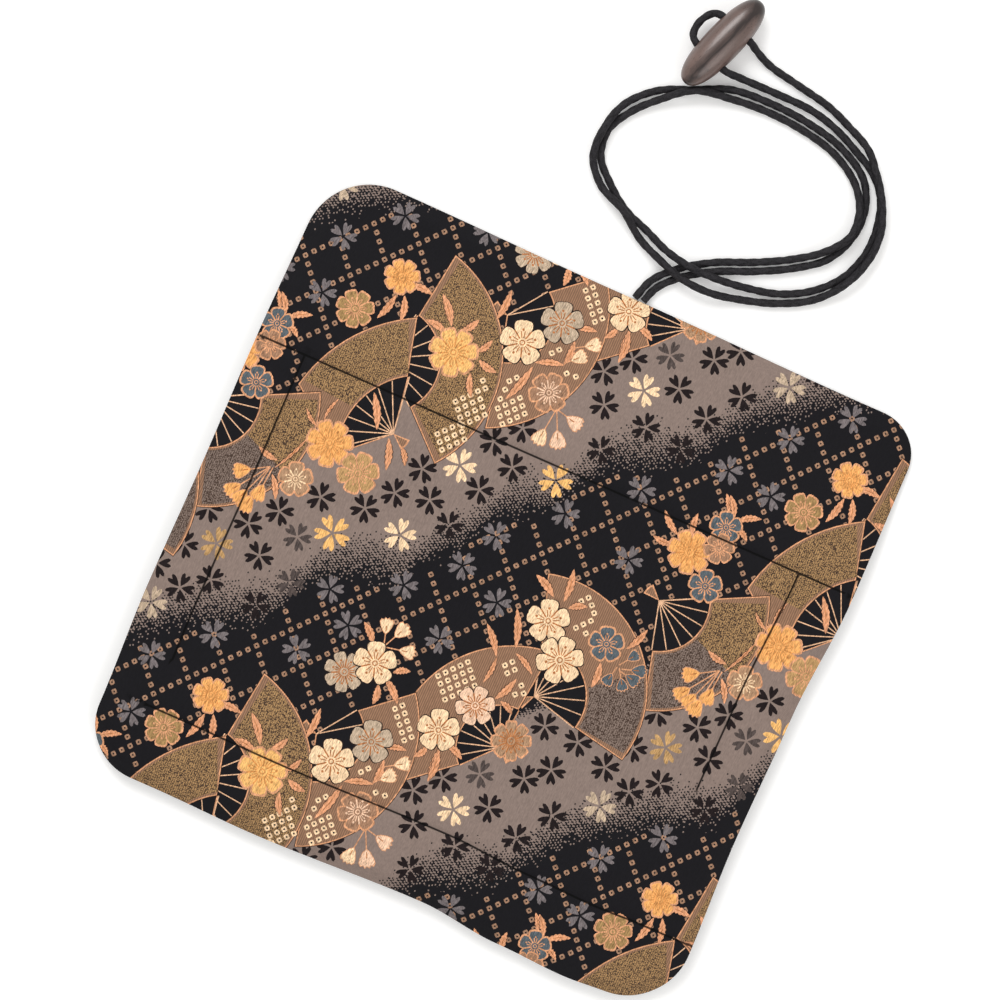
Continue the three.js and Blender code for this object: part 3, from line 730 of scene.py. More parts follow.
# Full flowers with touching petals: x, y, radius, petals, fill, outline and lines
FLOWERS = [
    (-80.7, 93, 6.8, 7, ORANGE, EDGE, FINE_LINE), (-91.9, 75, 7.2, 7, BROWN, EDGE, EDGE),
    (-51.8, 74.8, 9.4, 7, YELLOW, EDGE, FINE_LINE), (-29.8, 88.5, 8.8, 5, CREAM, OUTLINE, LINE),
    (-19.1, 101.2, 8.3, 5, GREY_TAN, OUTLINE, LINE), (-13.2, 75.3, 7.6, 6, FAN_BROWN, EDGE, PALE_PINK),
    (2, 115.2, 8.2, 5, CREAM, OUTLINE, LINE), (28.4, 122.4, 7.6, 8, TAN, EDGE, LINE),
    (-80.3, 25.2, 9.0, 7, ORANGE, EDGE, FINE_LINE), (-66.2, 19.3, 8.0, 6, GOLD, EDGE, EDGE),
    (-86.6, 7.9, 6.6, 5, TAN, EDGE, CREAM), (58.5, 42, 8.4, 7, ORANGE, EDGE, FINE_LINE),
    (20.7, -2.6, 8.4, 5, CREAM, OUTLINE, LINE), (30.5, -14.2, 9.2, 6, CREAM, OUTLINE, LINE),
    (-41.2, -50.4, 7.8, 7, GREY_TAN, OUTLINE, LINE), (-32, -42.9, 8.4, 5, CREAM, OUTLINE, LINE),
    (8.5, -42.4, 7.6, 6, PALE_PINK, OUTLINE, LINE), (67.3, 55.8, 6.2, 5, BLUE, EDGE, EDGE),
    (68.1, 47.6, 5.8, 6, FAN_BROWN, EDGE, EDGE), (69, 32.7, 6.4, 5, BLUE, EDGE, EDGE),
    (44, -1.8, 6.8, 5, BLUE, EDGE, EDGE),
]

# Buds: the middle of each, the root of its stem, its length and colour
BUDS = [
    (-106.1, 3, -97, 8.5, 6.4, ORANGE), (-106.4, -4.6, -97, 8.5, 6.4, ORANGE),
    (-102.7, -6.1, -97, 8.5, 6.4, ORANGE), (-99.6, -7.5, -97, 8.5, 6.8, ORANGE),
    (-97, -2, -96, 8.5, 6.4, ORANGE), (-9.5, 59.1, -8.1, 70.9, 6.4, CREAM),
    (-3.2, 60.6, -8.1, 70.9, 6.8, PALE_PINK), (-0.2, 69, -8.1, 70.9, 6.4, PALE_PINK),
    (-33.6, -28.5, -31.5, -36, 5.6, CREAM), (-27.7, -28.1, -31.5, -36, 6.2, CREAM),
    (-22.7, -34.2, -31.5, -36, 5.8, CREAM), (-8.2, 91.8, -12, 88, 6.0, CREAM),
    (-5.2, 98.2, -12, 94, 6.0, CREAM), (55, -2.1, 51.5, -7, 4.6, BLUE), (59, -6.1, 53, -8, 5.4, BLUE),
    (58, -10, 53, -9, 5.4, BLUE), (55.3, -13.3, 52, -8, 4.6, BLUE), (49.9, -13.4, 51, -8, 4.8, BLUE),
]

# Leaves: both tips and the widest width
LEAVES = [
    (-119.5, 70, -114.7, 62.5, 2.6), (-113.5, 62, -105.2, 66.4, 2.8),
    (-112.5, 59.5, -107, 56.5, 2.4), (-72.8, 49.3, -66.2, 36.8, 3.2), (-61, 36, -57.1, 24.4, 3.0),
    (-55.5, 35, -51.3, 28.6, 2.4), (-64.2, 93.3, -56.3, 83.4, 3.4), (-66.1, 81.9, -57, 80.3, 3.2),
    (-47.9, 89.9, -52.6, 82.9, 3.0), (-40.2, 84.9, -44.2, 78.2, 2.6), (-34.1, 74.3, -42, 76, 3.2),
    (-38.9, 62, -42.9, 70.4, 2.8), (-41.3, 105.1, -42.1, 92.5, 3.0),
    (-13.2, 101.4, -5.8, 103.5, 2.6), (-12, 97, -12.3, 87, 2.8), (-22.5, 83.6, -12, 87, 2.8),
    (-22.5, 82, -27, 66.5, 3.2), (5.5, 108, 6, 96, 3.2), (9.7, 11.4, 19, 6.4, 3.4),
    (21.8, 18.9, 23.2, 6.2, 3.2), (25.7, 4.7, 32, 8, 3.0), (62.5, 67.5, 66, 61, 2.6),
    (-77.5, 91.5, -67.5, 91.5, 3.0), (-80, 86, -83, 75, 3.0), (-77, 87, -74.5, 77.5, 3.0),
    (-41.8, -30.4, -35.5, -36.7, 3.2), (-24.5, -43.5, -18.5, -40.4, 2.8),
    (-26.4, -46.3, -18.2, -53.5, 3.2), (-27.7, -49.5, -26.6, -57.2, 3.2),
    (52, 46, 43.9, 52.7, 2.8), (52, 42, 43.7, 42.2, 2.8), (57, 48, 55.7, 56.5, 2.8),
    (8.2, -2.9, 13.7, -16.7, 3.2), (0.3, -12.6, 8.4, -22.5, 3.0), (8.6, -22.5, 7.7, -33.4, 2.0),
    (14.5, -18.4, 23.3, -23.3, 2.4), (18.6, -27, 14.1, -37.3, 3.0),
    (16.4, -37.1, 22.3, -39.9, 2.6), (-1.5, -63.2, -4.9, -68.9, 2.8), (2.6, -62.3, 2.8, -73, 3.2),
    (4.9, -60, 11.9, -62.7, 3.0), (55.9, 9.3, 51.5, -0.5, 2.8), (44.8, -8.8, 45.4, -18.9, 3.0),
    (-95.3, 6.2, -90.4, -2.2, 2.6), (-88.2, 24.9, -95.4, 8.6, 1.2),
    (-95.5, 11.7, -103.9, 13.6, 2.6), (-87, 29.1, -93.4, 33.8, 1.6),
    (-85.8, 32.2, -83.8, 41.8, 1.4),
]

# Folding fans, in the order in which each lies over the one before: centre and radius of the outer arc and
# of the inner arc, the angles of both sides at each, the hub, the angles of the sticks that show, and the
# parts of the leaf with a curdled weave, each as two angles and a colour
FANS = [
    ((-48.0, 96.2, 46.7), (-39, 95.7, 17.5), (-67, 38), (-75, 54), (-39, 95.7), (54, 35), []),
    ((-77.2, 63.6, 46.6), (-74, 62.5, 20.0), (-40, 76), (-40, 77), (-74, 62.5), range(-40, 80, 17),
     [(-36, 72, CURD_GOLD)]),
    ((-41.7, 28.8, 59.6), (-47.5, 33.5, 30.6), (117.5, 168.5), (121.5, 200), (-60, 38), range(98, 220, 17),
     [(121, 166, CURD_GOLD)]),
    ((55.5, 20.9, 41.4), (55.5, 20.9, 18.5), (-75, 26.5), (-75, 26.5), (55.5, 20.9), range(-75, 30, 17),
     [(-71, -22, CURD_GREY), (-22, 22, CURD_GOLD)]),
    ((25.2, -27.7, 43.2), (27, -30, 19.0), (-15.5, 106), (-15.5, 106), (27.3, -30.4), range(-15, 106, 17),
     [(-12, 32, CURD_GREY)]),
    ((30.2, -58.1, 45.8), (23.5, -53.5, 16.0), (94, 212), (88, 225), (23, -53), range(95, 225, 17), []),
]
CURD_MARGIN = 1.4
FAN_OUTLINE = 0.25
FAN_EDGE = 0.68
HANDLE_LENGTH = 6.5
HANDLE_SPREAD = 22
HANDLE_POINTS = (-1, -0.3, 0.3, 1)
HANDLE_EDGE = 0.6

# Clusters of ring dots on the fans: middle, and the number of dots along each direction of the net
CLUSTERS = [
    (-23.3, 63.4, 4, 3), (-27.4, 74.5, 2, 1), (-28.6, 69.8, 1, 1), (-28.8, 65.9, 1, 1), (-17.1, 90.5, 2, 1),
    (-10, 84.6, 1, 1), (-6.4, 84.9, 1, 1), (-11, 112.4, 2, 5), (-36.5, 68.4, 1, 2), (-37.7, 58.2, 4, 4),
    (-40.0, 45.6, 4, 3), (30, 10.2, 2, 1), (34.2, 8.1, 1, 2), (33.2, 1.5, 3, 1),
    (35.4, -1.2, 1, 1), (-1.6, -36.7, 5, 4), (14.6, -24.2, 2, 2), (22.2, -29.8, 1, 2), (20.4, -32.6, 1, 1),
]
DOT_PITCH = 3.05
DOT_SIZE = 1.05
DOT_CORNER = 1.2
DOT_HEART = 0.4
NET_DOT_SIZE = 1.0
NET_FIRST = (9.3, 10.6)
NET_SECOND = (9.05, -10.8)
NET_START = (8.5, 19.4)
NET_TURN = math.atan2(NET_FIRST[1], NET_FIRST[0])
NET_REACH = 30
NET_TONE = 0.08
# The net of the back left corner stands a little aside from the rest
CORNER_BEFORE = (-30, 45)
CORNER_SHIFT = (2.2, 0.9)


def repeat_shift(i, j):
    return [i * first + j * second for first, second in zip(*REPEAT_STEPS)]


def band_tone(x, y):
    """1 where the ground is taupe and 0 where it is black, softly."""
    tone = np.zeros_like(x)
    for shift_x, shift_y in [repeat_shift(i, j) for i in NEAR for j in (-2, *NEAR, 2)]:
        low = np.interp(x - shift_x, *zip(*BAND_LOW)) + shift_y
        high = np.interp(x - shift_x, *zip(*BAND_HIGH)) + shift_y
        inside = (x - shift_x > BAND_LOW[0][0]) & (x - shift_x <= BAND_LOW[-1][0] - REPEAT_STEPS[1][0])
        rise = np.clip((y - low) / BAND_SOFT + 0.5, 0, 1) * np.clip((high - y) / BAND_TOP_SOFT, 0, 1)
        tone = np.where(inside, np.maximum(tone, rise), tone)
    return tone


# How far the parts of a figure stand out of the ground, in millimetres
SUNK_RELIEF = 0.05
DOT_HEART_RELIEF = 0.06
LEAF_OUTLINE_RELIEF = 0.08
LINE_RELIEF = 0.1
STEM_RELIEF = 0.12
WEAVE_RELIEF = 0.14
PETAL_RELIEF = 0.16
EDGE_RELIEF = 0.2
BODY_RELIEF = 0.26
HEART_RELIEF = 0.3
MIDDLE_RELIEF = 0.34
HIGHEST_RELIEF = 0.4
# Widths of lines, in millimetres, and degrees from one point of an arc to the next
FINE_WIDTH = 0.35
RIB_WIDTH = 0.42
LINE_WIDTH = 0.45
ARC_STEP = 4


def polar(x, y, reach, angle):
    return x + reach * math.cos(angle), y + reach * math.sin(angle)


def circle(x, y, radius, count):
    return [polar(x, y, radius, 2 * math.pi * k / count) for k in range(count)]


def arc(middle, ends):
    count = max(2, round(abs(ends[1] - ends[0]) / ARC_STEP))
    return [polar(*middle, math.radians(ends[0] + (ends[1] - ends[0]) * k / count)) for k in range(count + 1)]


def turned(points, x, y, angle):
    cos, sin = math.cos(angle), math.sin(angle)
    return [(x + cos * a - sin * b, y + sin * a + cos * b) for a, b in points]


def scaled(points, size):
    return [(a * size, b * size) for a, b in points]


def bar(x0, y0, x1, y1, width):
    length = math.hypot(x1 - x0, y1 - y0)
    across = (-(y1 - y0) / length * width / 2, (x1 - x0) / length * width / 2)
    return [
        (x0 - across[0], y0 - across[1]), (x1 - across[0], y1 - across[1]),
        (x1 + across[0], y1 + across[1]), (x0 + across[0], y0 + across[1]),
    ]


def inset(points, distance):
    """The same outline, moved inwards by a distance."""
    moved = []
    count = len(points)
    area = sum(points[k - 1][0] * points[k][1] - points[k][0] * points[k - 1][1] for k in range(count))
    sign = 1 if area > 0 else -1
    for k in range(count):
        before, here, after = points[k - 1], points[k], points[(k + 1) % count]
        normals = []
        for first, second in ((before, here), (here, after)):
            dx, dy = second[0] - first[0], second[1] - first[1]
            length = math.hypot(dx, dy) or 1
            normals.append((-dy / length * sign, dx / length * sign))
        nx, ny = normals[0][0] + normals[1][0], normals[0][1] + normals[1][1]
        scale = distance / max(0.5, (nx * nx + ny * ny) / 2)
        moved.append((here[0] + nx * scale, here[1] + ny * scale))
    return moved


PETAL = [(0.1, 0), (0.34, 0.15), (0.6, 0.27), (0.84, 0.31), (1.0, 0.22), (0.94, 0.11), (0.74, 0)]
PETAL_SHAPE = PETAL + [(a, -b) for a, b in reversed(PETAL[1:-1])]


def draw_blossom(add, x, y, radius, degrees, color):
    for k in range(5):
        petal = turned(scaled(PETAL_SHAPE, radius), x, y, math.radians(degrees + 72 * k))
        add(petal, color, PETAL_RELIEF)


# Outlines of full flowers: points on each petal, and shares of the flower's radius
PETAL_POINTS = 16
PETAL_REACH = 0.97
SCALLOP = 0.035
NOTCH = 0.05
NOTCH_WIDTH = 0.03
CLEFT = 0.4
OUTER_CLEFT = 0.24
CLEFT_SHARPNESS = 2.4
# Lines of full flowers, as shares of the radius: start and end of each stroke, and its width in millimetres
VALLEY_STROKE = (0.2, 0.62, 0.55)
CREST_STROKE = (0.2, 0.5, 0.36)
CREST_SPREAD = 0.9
CREST_DOT_PLACE = 0.56
CREST_DOT = 0.06


def flower_outline(x, y, radius, petals, cleft):
    """Broad petals with scalloped tips and narrow clefts between them."""
    spots = []
    count = petals * PETAL_POINTS
    for k in range(count):
        angle = 2 * math.pi * k / count
        lobe = abs(math.sin(petals * angle / 2))
        scallop = SCALLOP * abs(math.sin(petals * angle * 1.5))
        notch = NOTCH * max(0.0, 1 - (1 - lobe) / NOTCH_WIDTH)
        reach = radius * (PETAL_REACH - cleft * (1 - lobe) ** CLEFT_SHARPNESS - notch + scallop)
        spots.append(polar(x, y, reach, angle))
    return spots


def draw_flower(add, x, y, radius, petals, fill, outline, lines):
    edged = outline == EDGE
    outer, inner = (radius + 0.3, radius * 0.95 - 0.1) if edged else (radius + 0.1, radius * 0.95 + 0.3)
    add(flower_outline(x, y, outer, petals, OUTER_CLEFT), outline, EDGE_RELIEF if edged else SUNK_RELIEF)
    add(flower_outline(x, y, inner, petals, CLEFT), fill, PETAL_RELIEF)
    add(flower_outline(x, y, radius * 0.8, petals, CLEFT), fill, MIDDLE_RELIEF)
    for k in range(petals):
        valley = 2 * math.pi * k / petals
        crest = valley + math.pi / petals
        strokes = [(valley, *VALLEY_STROKE)]
        strokes += [(crest + side * CREST_SPREAD / petals, *CREST_STROKE) for side in (-1, 1)]
        for angle, start, end, width in strokes:
            cos, sin = math.cos(angle) * radius, math.sin(angle) * radius
            stroke = bar(x + cos * start, y + sin * start, x + cos * end, y + sin * end, width)
            add(stroke, lines, LINE_RELIEF)
        cos, sin = math.cos(crest) * radius * CREST_DOT_PLACE, math.sin(crest) * radius * CREST_DOT_PLACE
        add(circle(x + cos, y + sin, radius * CREST_DOT, 6), lines, LINE_RELIEF)
    add(circle(x, y, radius * 0.13, 8), lines, LINE_RELIEF)
    add(circle(x, y, radius * 0.08, 8), fill, HEART_RELIEF)


BUD_HALF = [(-0.3, 0.2), (0, 0.36), (0.25, 0.43), (0.42, 0.34), (0.38, 0.2), (0.52, 0.12)]
BUD_SHAPE = [(-0.5, 0), *BUD_HALF, (0.42, 0), *((a, -b) for a, b in reversed(BUD_HALF))]
BUD_EDGE = 0.8


def draw_bud(add, x, y, root_x, root_y, length, color):
    """A heart-shaped bud on a thin stem: narrow where the stem joins it, scalloped at its far end."""
    angle = math.atan2(y - root_y, x - root_x)
    add(bar(root_x, root_y, x, y, LINE_WIDTH), EDGE, STEM_RELIEF)
    add(turned(scaled(BUD_SHAPE, length + BUD_EDGE), x, y, angle), EDGE, LINE_RELIEF)
    add(turned(scaled(BUD_SHAPE, length), x, y, angle), color, BODY_RELIEF)
    fold = x - math.cos(angle) * length * 0.35, y - math.sin(angle) * length * 0.35
    add(bar(*fold, x, y, FINE_WIDTH), LINE, LINE_RELIEF)


LEAF_TEETH = 6
LEAF_BEND = 0.6
LEAF_EDGE = 0.6
LEAF_HALF = 0.42
TOOTH_OUT = 0.24
TOOTH_IN = -0.16
# The vein: shares of the leaf's length, and millimetres aside
LEAF_VEIN = [(0.15, 0.2), (0.5, 0.42), (0.8, 0.35), (0.5, 0.76)]


def draw_leaf(add, x0, y0, x1, y1, width):
    """A toothed leaf, bent a little, with a dark vein."""
    length = math.hypot(x1 - x0, y1 - y0)
    angle = math.atan2(y1 - y0, x1 - x0)

    def outline(wide):
        sides = {1: [], -1: []}
        for k in range(2 * LEAF_TEETH + 1):
            part = k / (2 * LEAF_TEETH)
            swell = math.sin(math.pi * part) ** 0.8
            tooth = TOOTH_OUT if k % 2 else TOOTH_IN
            bend = LEAF_BEND * math.sin(math.pi * part)
            for side, spots in sides.items():
                spots.append((length * part, side * swell * (wide * LEAF_HALF + tooth) + bend))
        return turned(sides[1] + sides[-1][-2:0:-1], x0, y0, angle)

    add(outline(width + LEAF_EDGE), OUTLINE, LEAF_OUTLINE_RELIEF)
    add(outline(width), LEAF, BODY_RELIEF)
    vein = [(length * part, aside) for part, aside in LEAF_VEIN]
    add(turned(vein, x0, y0, angle), LINE, STEM_RELIEF)


def draw_fan(add, outer, inner, outer_ends, inner_ends, hub, ribs, curds):
    add([hub, *arc(inner, inner_ends)], BLACK, 0.0, "ground")
    for side in inner_ends:
        add(bar(*hub, *polar(*inner, math.radians(side)), LINE_WIDTH), EDGE, PETAL_RELIEF)
    for rib in ribs:
        cos, sin = math.cos(math.radians(rib)), math.sin(math.radians(rib))
        across = (hub[0] - inner[0]) * cos + (hub[1] - inner[1]) * sin
        beyond = (hub[0] - inner[0]) ** 2 + (hub[1] - inner[1]) ** 2 - inner[2] ** 2
        reach = math.sqrt(across * across - beyond) - across
        add(bar(*hub, hub[0] + cos * reach, hub[1] + sin * reach, RIB_WIDTH), RIB, WEAVE_RELIEF)
    leaf = [*arc(outer, outer_ends), *reversed(arc(inner, inner_ends))]
    add(leaf, OUTLINE, SUNK_RELIEF)
    add(inset(leaf, FAN_OUTLINE), EDGE, EDGE_RELIEF)
    add(inset(leaf, FAN_EDGE), FAN_BROWN, WEAVE_RELIEF, "hatch")
    far = (*outer[:2], outer[2] - CURD_MARGIN)
    near = (*inner[:2], inner[2] + CURD_MARGIN)
    for first, last, color in curds:
        curdled = [*arc(far, (first, last)), *reversed(arc(near, (first, last)))]
        add(curdled, color, WEAVE_RELIEF, "mottle")
    middle = math.radians(sum(inner_ends) / 2 + 180)
    spread = math.radians(HANDLE_SPREAD)
    handle = [hub]
    for side in HANDLE_POINTS:
        handle.append(polar(*hub, HANDLE_LENGTH, middle + side * spread))
    add(handle, EDGE, EDGE_RELIEF)
    add(inset(handle, HANDLE_EDGE), FAN_BROWN, WEAVE_RELIEF, "hatch")


def draw_dot(add, x, y, size, color):
    """A ring, nearly square, with its sides along the net."""
    ring = []
    for k in range(8):
        ring.append(polar(x, y, size * (DOT_CORNER if k % 2 else 1.0), NET_TURN + math.pi * k / 4))
    add(ring, color, EDGE_RELIEF)
    add(circle(x, y, size * DOT_HEART, 5), BLACK, DOT_HEART_RELIEF)


def draw_net(add, x_range, y_range):
    """Ring dots at every quarter of a net of diamonds, on the black ground only."""
    for i in range(-NET_REACH, NET_REACH + 1):
        for j in range(-NET_REACH, NET_REACH + 1):
            for part_first, part_second in [(k / 4, 0) for k in range(4)] + [(0, k / 4) for k in range(1, 4)]:
                a, b = i + part_first, j + part_second
                x = NET_START[0] + a * NET_FIRST[0] + b * NET_SECOND[0]
                y = NET_START[1] + a * NET_FIRST[1] + b * NET_SECOND[1]
                if x < CORNER_BEFORE[0] and y > CORNER_BEFORE[1]:
                    x, y = x + CORNER_SHIFT[0], y + CORNER_SHIFT[1]
                if not (x_range[0] < x < x_range[1] and y_range[0] < y < y_range[1]):
                    continue
                if band_tone(np.array([x]), np.array([y]))[0] < NET_TONE:
                    draw_dot(add, x, y, NET_DOT_SIZE, NET)


def draw_cluster(add, x, y, first, second):
    steps = [[DOT_PITCH * part / math.hypot(*way) for part in way] for way in (NET_FIRST, NET_SECOND)]
    for i in range(first):
        for j in range(second):
            a, b = i - (first - 1) / 2, j - (second - 1) / 2
            spot = [middle + a * p + b * q for middle, p, q in zip((x, y), *steps)]
            draw_dot(add, *spot, DOT_SIZE, CREAM)


def draw_brocade():
    """Every patch of the pattern, the lowest first: outline, colour, kind of weave and relief."""
    patches = []
    edge_x, edge_y = HALF_WIDTH / MM + 1, HALF_DEPTH / MM + 1

    def add_at(shift_x, shift_y):
        def add(points, color, relief, kind="thread"):
            moved = [(x + shift_x, y + shift_y) for x, y in points]
            xs, ys = zip(*moved)
            if min(xs) > edge_x or max(xs) < -edge_x or min(ys) > edge_y or max(ys) < -edge_y:
                return
            patches.append((moved, color, kind, relief))
        return add

    draw_net(add_at(0, 0), (-edge_x, edge_x), (-edge_y, edge_y))
    shifts = [repeat_shift(i, j) for j in NEAR for i in NEAR]
    for shift in shifts:
        for color, blossoms in BLOSSOMS.items():
            for blossom in blossoms:
                draw_blossom(add_at(*shift), *blossom, color)
    for row in NEAR:
        for fan in FANS:
            for column in NEAR:
                draw_fan(add_at(*repeat_shift(column, row)), *fan)
    layers = [(draw_cluster, CLUSTERS), (draw_leaf, LEAVES), (draw_bud, BUDS), (draw_flower, FLOWERS)]
    for draw, items in layers:
        for shift in shifts:
            for item in items:
                draw(add_at(*shift), *item)
    return patches


# Rows of points inside the edge and beside each seam, and the steps between points
RIM_ROWS = [0.0, 0.0003, 0.0009, 0.0018, 0.003, 0.0045, 0.0062, 0.008]
RIM_STEP = 0.0018
GRID_STEP = 0.003
SEAM_ROWS = [-0.0025, -0.0012, -0.0005, 0.0, 0.0005, 0.0012, 0.0025]
SEAM_STEP = 0.002
SEAM_MARGIN = 0.002
UNDERSIDE_STEP = 0.006
# Points closer than this, in millimetres, are one point
SAME_POINT = 1e-4
RELIEF_FADE = 0.004


def loop_at(distance):
    """A closed row of flat points at a distance inside the edge."""
    wide, deep = HALF_WIDTH - distance, HALF_DEPTH - distance
    corners = [(-wide, -deep), (wide, -deep), (wide, deep), (-wide, deep)]
    points = []
    for (u0, v0), (u1, v1) in zip(corners, corners[1:] + corners[:1]):
        count = round(max(abs(u1 - u0), abs(v1 - v0)) / RIM_STEP)
        points += [(u0 + (u1 - u0) * k / count, v0 + (v1 - v0) * k / count) for k in range(count)]
    return points


def to_plan(points):
    u, v = np.array(points).T
    return list(zip(*plan(u, v)))


def seam_rows():
    """Rows of points along each seam, so that its groove has a bottom, two banks and a sharp line."""
    rows = []
    for across, at, start, end in SEAMS:
        count = round((end - start) / SEAM_STEP)
        for aside in SEAM_ROWS:
            row = []
            for k in range(count + 1):
                place = start + (end - start) * k / count
                u, v = (at + aside, place) if across == "u" else (place, at + aside)
                if from_edge(np.array([u]), np.array([v]))[0] > SEAM_MARGIN:
                    row.append((u, v))
            rows.append(row)
    return rows


def inside(outline, x, y):
    """Which of the points lie inside a closed outline."""
    within = np.zeros(len(x), dtype=bool)
    for (x0, y0), (x1, y1) in zip(outline, outline[1:] + outline[:1]):
        if y0 != y1:
            crosses = (y0 > y) != (y1 > y)
            within ^= crosses & (x < x0 + (y - y0) * (x1 - x0) / (y1 - y0))
    return within


def uppermost(patches, x, y):
    """The number of the uppermost patch that holds each point, or -1."""
    order = np.argsort(x)
    sorted_x = x[order]
    holder = np.full(len(x), -1)
    for number, (outline, *_) in enumerate(patches):
        xs, ys = zip(*outline)
        near = order[np.searchsorted(sorted_x, min(xs)):np.searchsorted(sorted_x, max(xs))]
        near = near[(y[near] > min(ys)) & (y[near] < max(ys))]
        holder[near[inside(outline, x[near], y[near])]] = number
    return holder


def divide_plan(grid_step, patches, rim_rows):
    """Triangles of the whole panel in plan, and for each the uppermost patch that holds it."""
    points, edges = [], []

    def add_line(line, closed=True):
        first = len(points)
        points.extend(line)
        edges.extend((first + k, first + k + 1) for k in range(len(line) - 1))
        if closed:
            edges.append((first + len(line) - 1, first))

    rows = [to_plan(loop_at(distance)) for distance in rim_rows]
    for row in rows:
        add_line(row)
    inner = HALF_WIDTH - rim_rows[-1] - grid_step / 2
    count = math.ceil(2 * inner / grid_step)
    ticks = [-inner + 2 * inner * k / count for k in range(count + 1)]
    points += to_plan([(u, v) for v in ticks for u in ticks])
    if patches:
        for row in seam_rows():
            add_line(to_plan(row), closed=False)
    for outline, *_ in patches:
        add_line([(x * MM, y * MM) for x, y in outline])
    wide = [Vector((x / MM, y / MM)) for x, y in points]
    spots, _, triangles, *_ = delaunay_2d_cdt(wide, edges, [], 0, SAME_POINT, False)
    corners = np.array([tuple(spot) for spot in spots])
    x, y = corners[np.array(triangles)].mean(axis=1).T
    kept = np.nonzero(inside([(a / MM, b / MM) for a, b in rows[0]], x, y))[0]
    holder = uppermost(patches, x[kept], y[kept])
    return corners * MM, [triangles[k] for k in kept], list(holder)


# One point of the weave, in metres each way
WOVEN_POINT = (0.0005, 0.0006, 1.0)
# How the order in which points change colour moves on from one point to the next, across and along
ORDER = (0.7549, 0.5698)
# Pitch of the fans' hatch and of the wefts, and how far threads draw out the streaks
HATCH_PITCH = 0.0008
WEFT_PITCH = 0.0003
THREAD_STRETCH = 0.14
# Share of chance in the order in which points change colour
CHANCE = 0.3
# How much of the colour the painted shade on a seam's line takes away at most, and how steeply
SEAM_SHADE_MOST = 0.92
SEAM_SHADE_STEEP = 2.2
# Kind of weave as one channel of a colour, and where the shader parts one kind from the next
HATCH_FROM = 0.25
MOTTLE_FROM = 0.75
WEAVES = {"ground": 0.0, "thread": 0.0, "hatch": 0.5, "mottle": 1.0}


def brocade_material():
    nodes = Nodes("brocade")
    thread = nodes.add("ShaderNodeVertexColor", layer_name="thread").outputs["Color"]
    weave = nodes.add("ShaderNodeVertexColor", layer_name="weave").outputs["Color"]
    ground, mottle, tone = nodes.add("ShaderNodeSeparateColor", Color=weave).outputs

    woven = nodes.add("ShaderNodeVectorMath", operation="SNAP", Vector=nodes.place())
    woven.inputs[1].default_value = WOVEN_POINT
    grains = nodes.add("ShaderNodeTexWhiteNoise", noise_dimensions="2D", Vector=woven.outputs[0])
    point = nodes.add("ShaderNodeSeparateXYZ", Vector=woven.outputs[0])
    across = nodes.math("MULTIPLY", point.outputs[0], ORDER[0] / WOVEN_POINT[0])
    order = nodes.math("MULTIPLY_ADD", point.outputs[1], ORDER[1] / WOVEN_POINT[1], across)
    ordered = nodes.math("FRACT", order)
    steady = nodes.math("MULTIPLY", ordered, 1 - CHANCE)
    level = nodes.math("MULTIPLY_ADD", grains.outputs["Value"], CHANCE, steady)
    speck = nodes.math("LESS_THAN", level, tone)
    ground_color = nodes.mix(speck, BLACK, TAUPE)

    curdled = nodes.math("GREATER_THAN", mottle, MOTTLE_FROM)
    curds = nodes.math("GREATER_THAN", nodes.noise(2300, 1.0), 0.53)
    hatched = nodes.math("GREATER_THAN", mottle, HATCH_FROM)
    hatch = nodes.math("MULTIPLY", nodes.wave(HATCH_PITCH, "X"), hatched)
    color = nodes.mix(nodes.math("MULTIPLY", hatch, 0.55), thread, CURD_DARK)
    color = nodes.mix(nodes.math("MULTIPLY", curdled, curds), color, CURD_DARK)
    color = nodes.mix(ground, color, ground_color)
    wefts = nodes.wave(WEFT_PITCH, "DIAGONAL")
    uneven = nodes.noise(900, 4.0)
    drawn_out = nodes.add(
        "ShaderNodeMapping", vector_type="POINT", Scale=(1, THREAD_STRETCH, 1), Vector=nodes.place(),
    )
    streaks = nodes.noise(3200, 2.0, drawn_out.outputs[0])
    shade = nodes.math("MULTIPLY_ADD", wefts, 0.08, nodes.math("MULTIPLY_ADD", uneven, 0.3, 0.52))
    figured = nodes.math("LESS_THAN", nodes.math("MAXIMUM", ground, mottle), HATCH_FROM)
    contrast = nodes.math("MULTIPLY_ADD", figured, 1.7, 0.6)
    streaks = nodes.math("SUBTRACT", streaks, 0.5)
    shade = nodes.math("MULTIPLY_ADD", streaks, contrast, nodes.math("ADD", shade, 0.28))
    # Painted shade: the colour darkens along each seam's row of stitches, where its groove lies
    painted_seam_shade = nodes.add("ShaderNodeAttribute", attribute_name="painted_seam_shade").outputs["Fac"]
    line = nodes.math("MINIMUM", nodes.math("MULTIPLY", painted_seam_shade, SEAM_SHADE_STEEP), SEAM_SHADE_MOST)
    shade = nodes.math("MULTIPLY", shade, nodes.math("SUBTRACT", 1.0, line))
    bright = nodes.add("ShaderNodeVectorMath", operation="SCALE", Vector=color, Scale=shade)
    nodes.set(Base_Color=bright.outputs[0], Roughness=0.7, Specular_IOR_Level=0.12)
    relief = nodes.math("MULTIPLY_ADD", wefts, 0.5, nodes.math("MULTIPLY", nodes.noise(1400, 2.0), 0.8))
    nodes.bump(relief, 0.00012, 0.55)
    return nodes.material


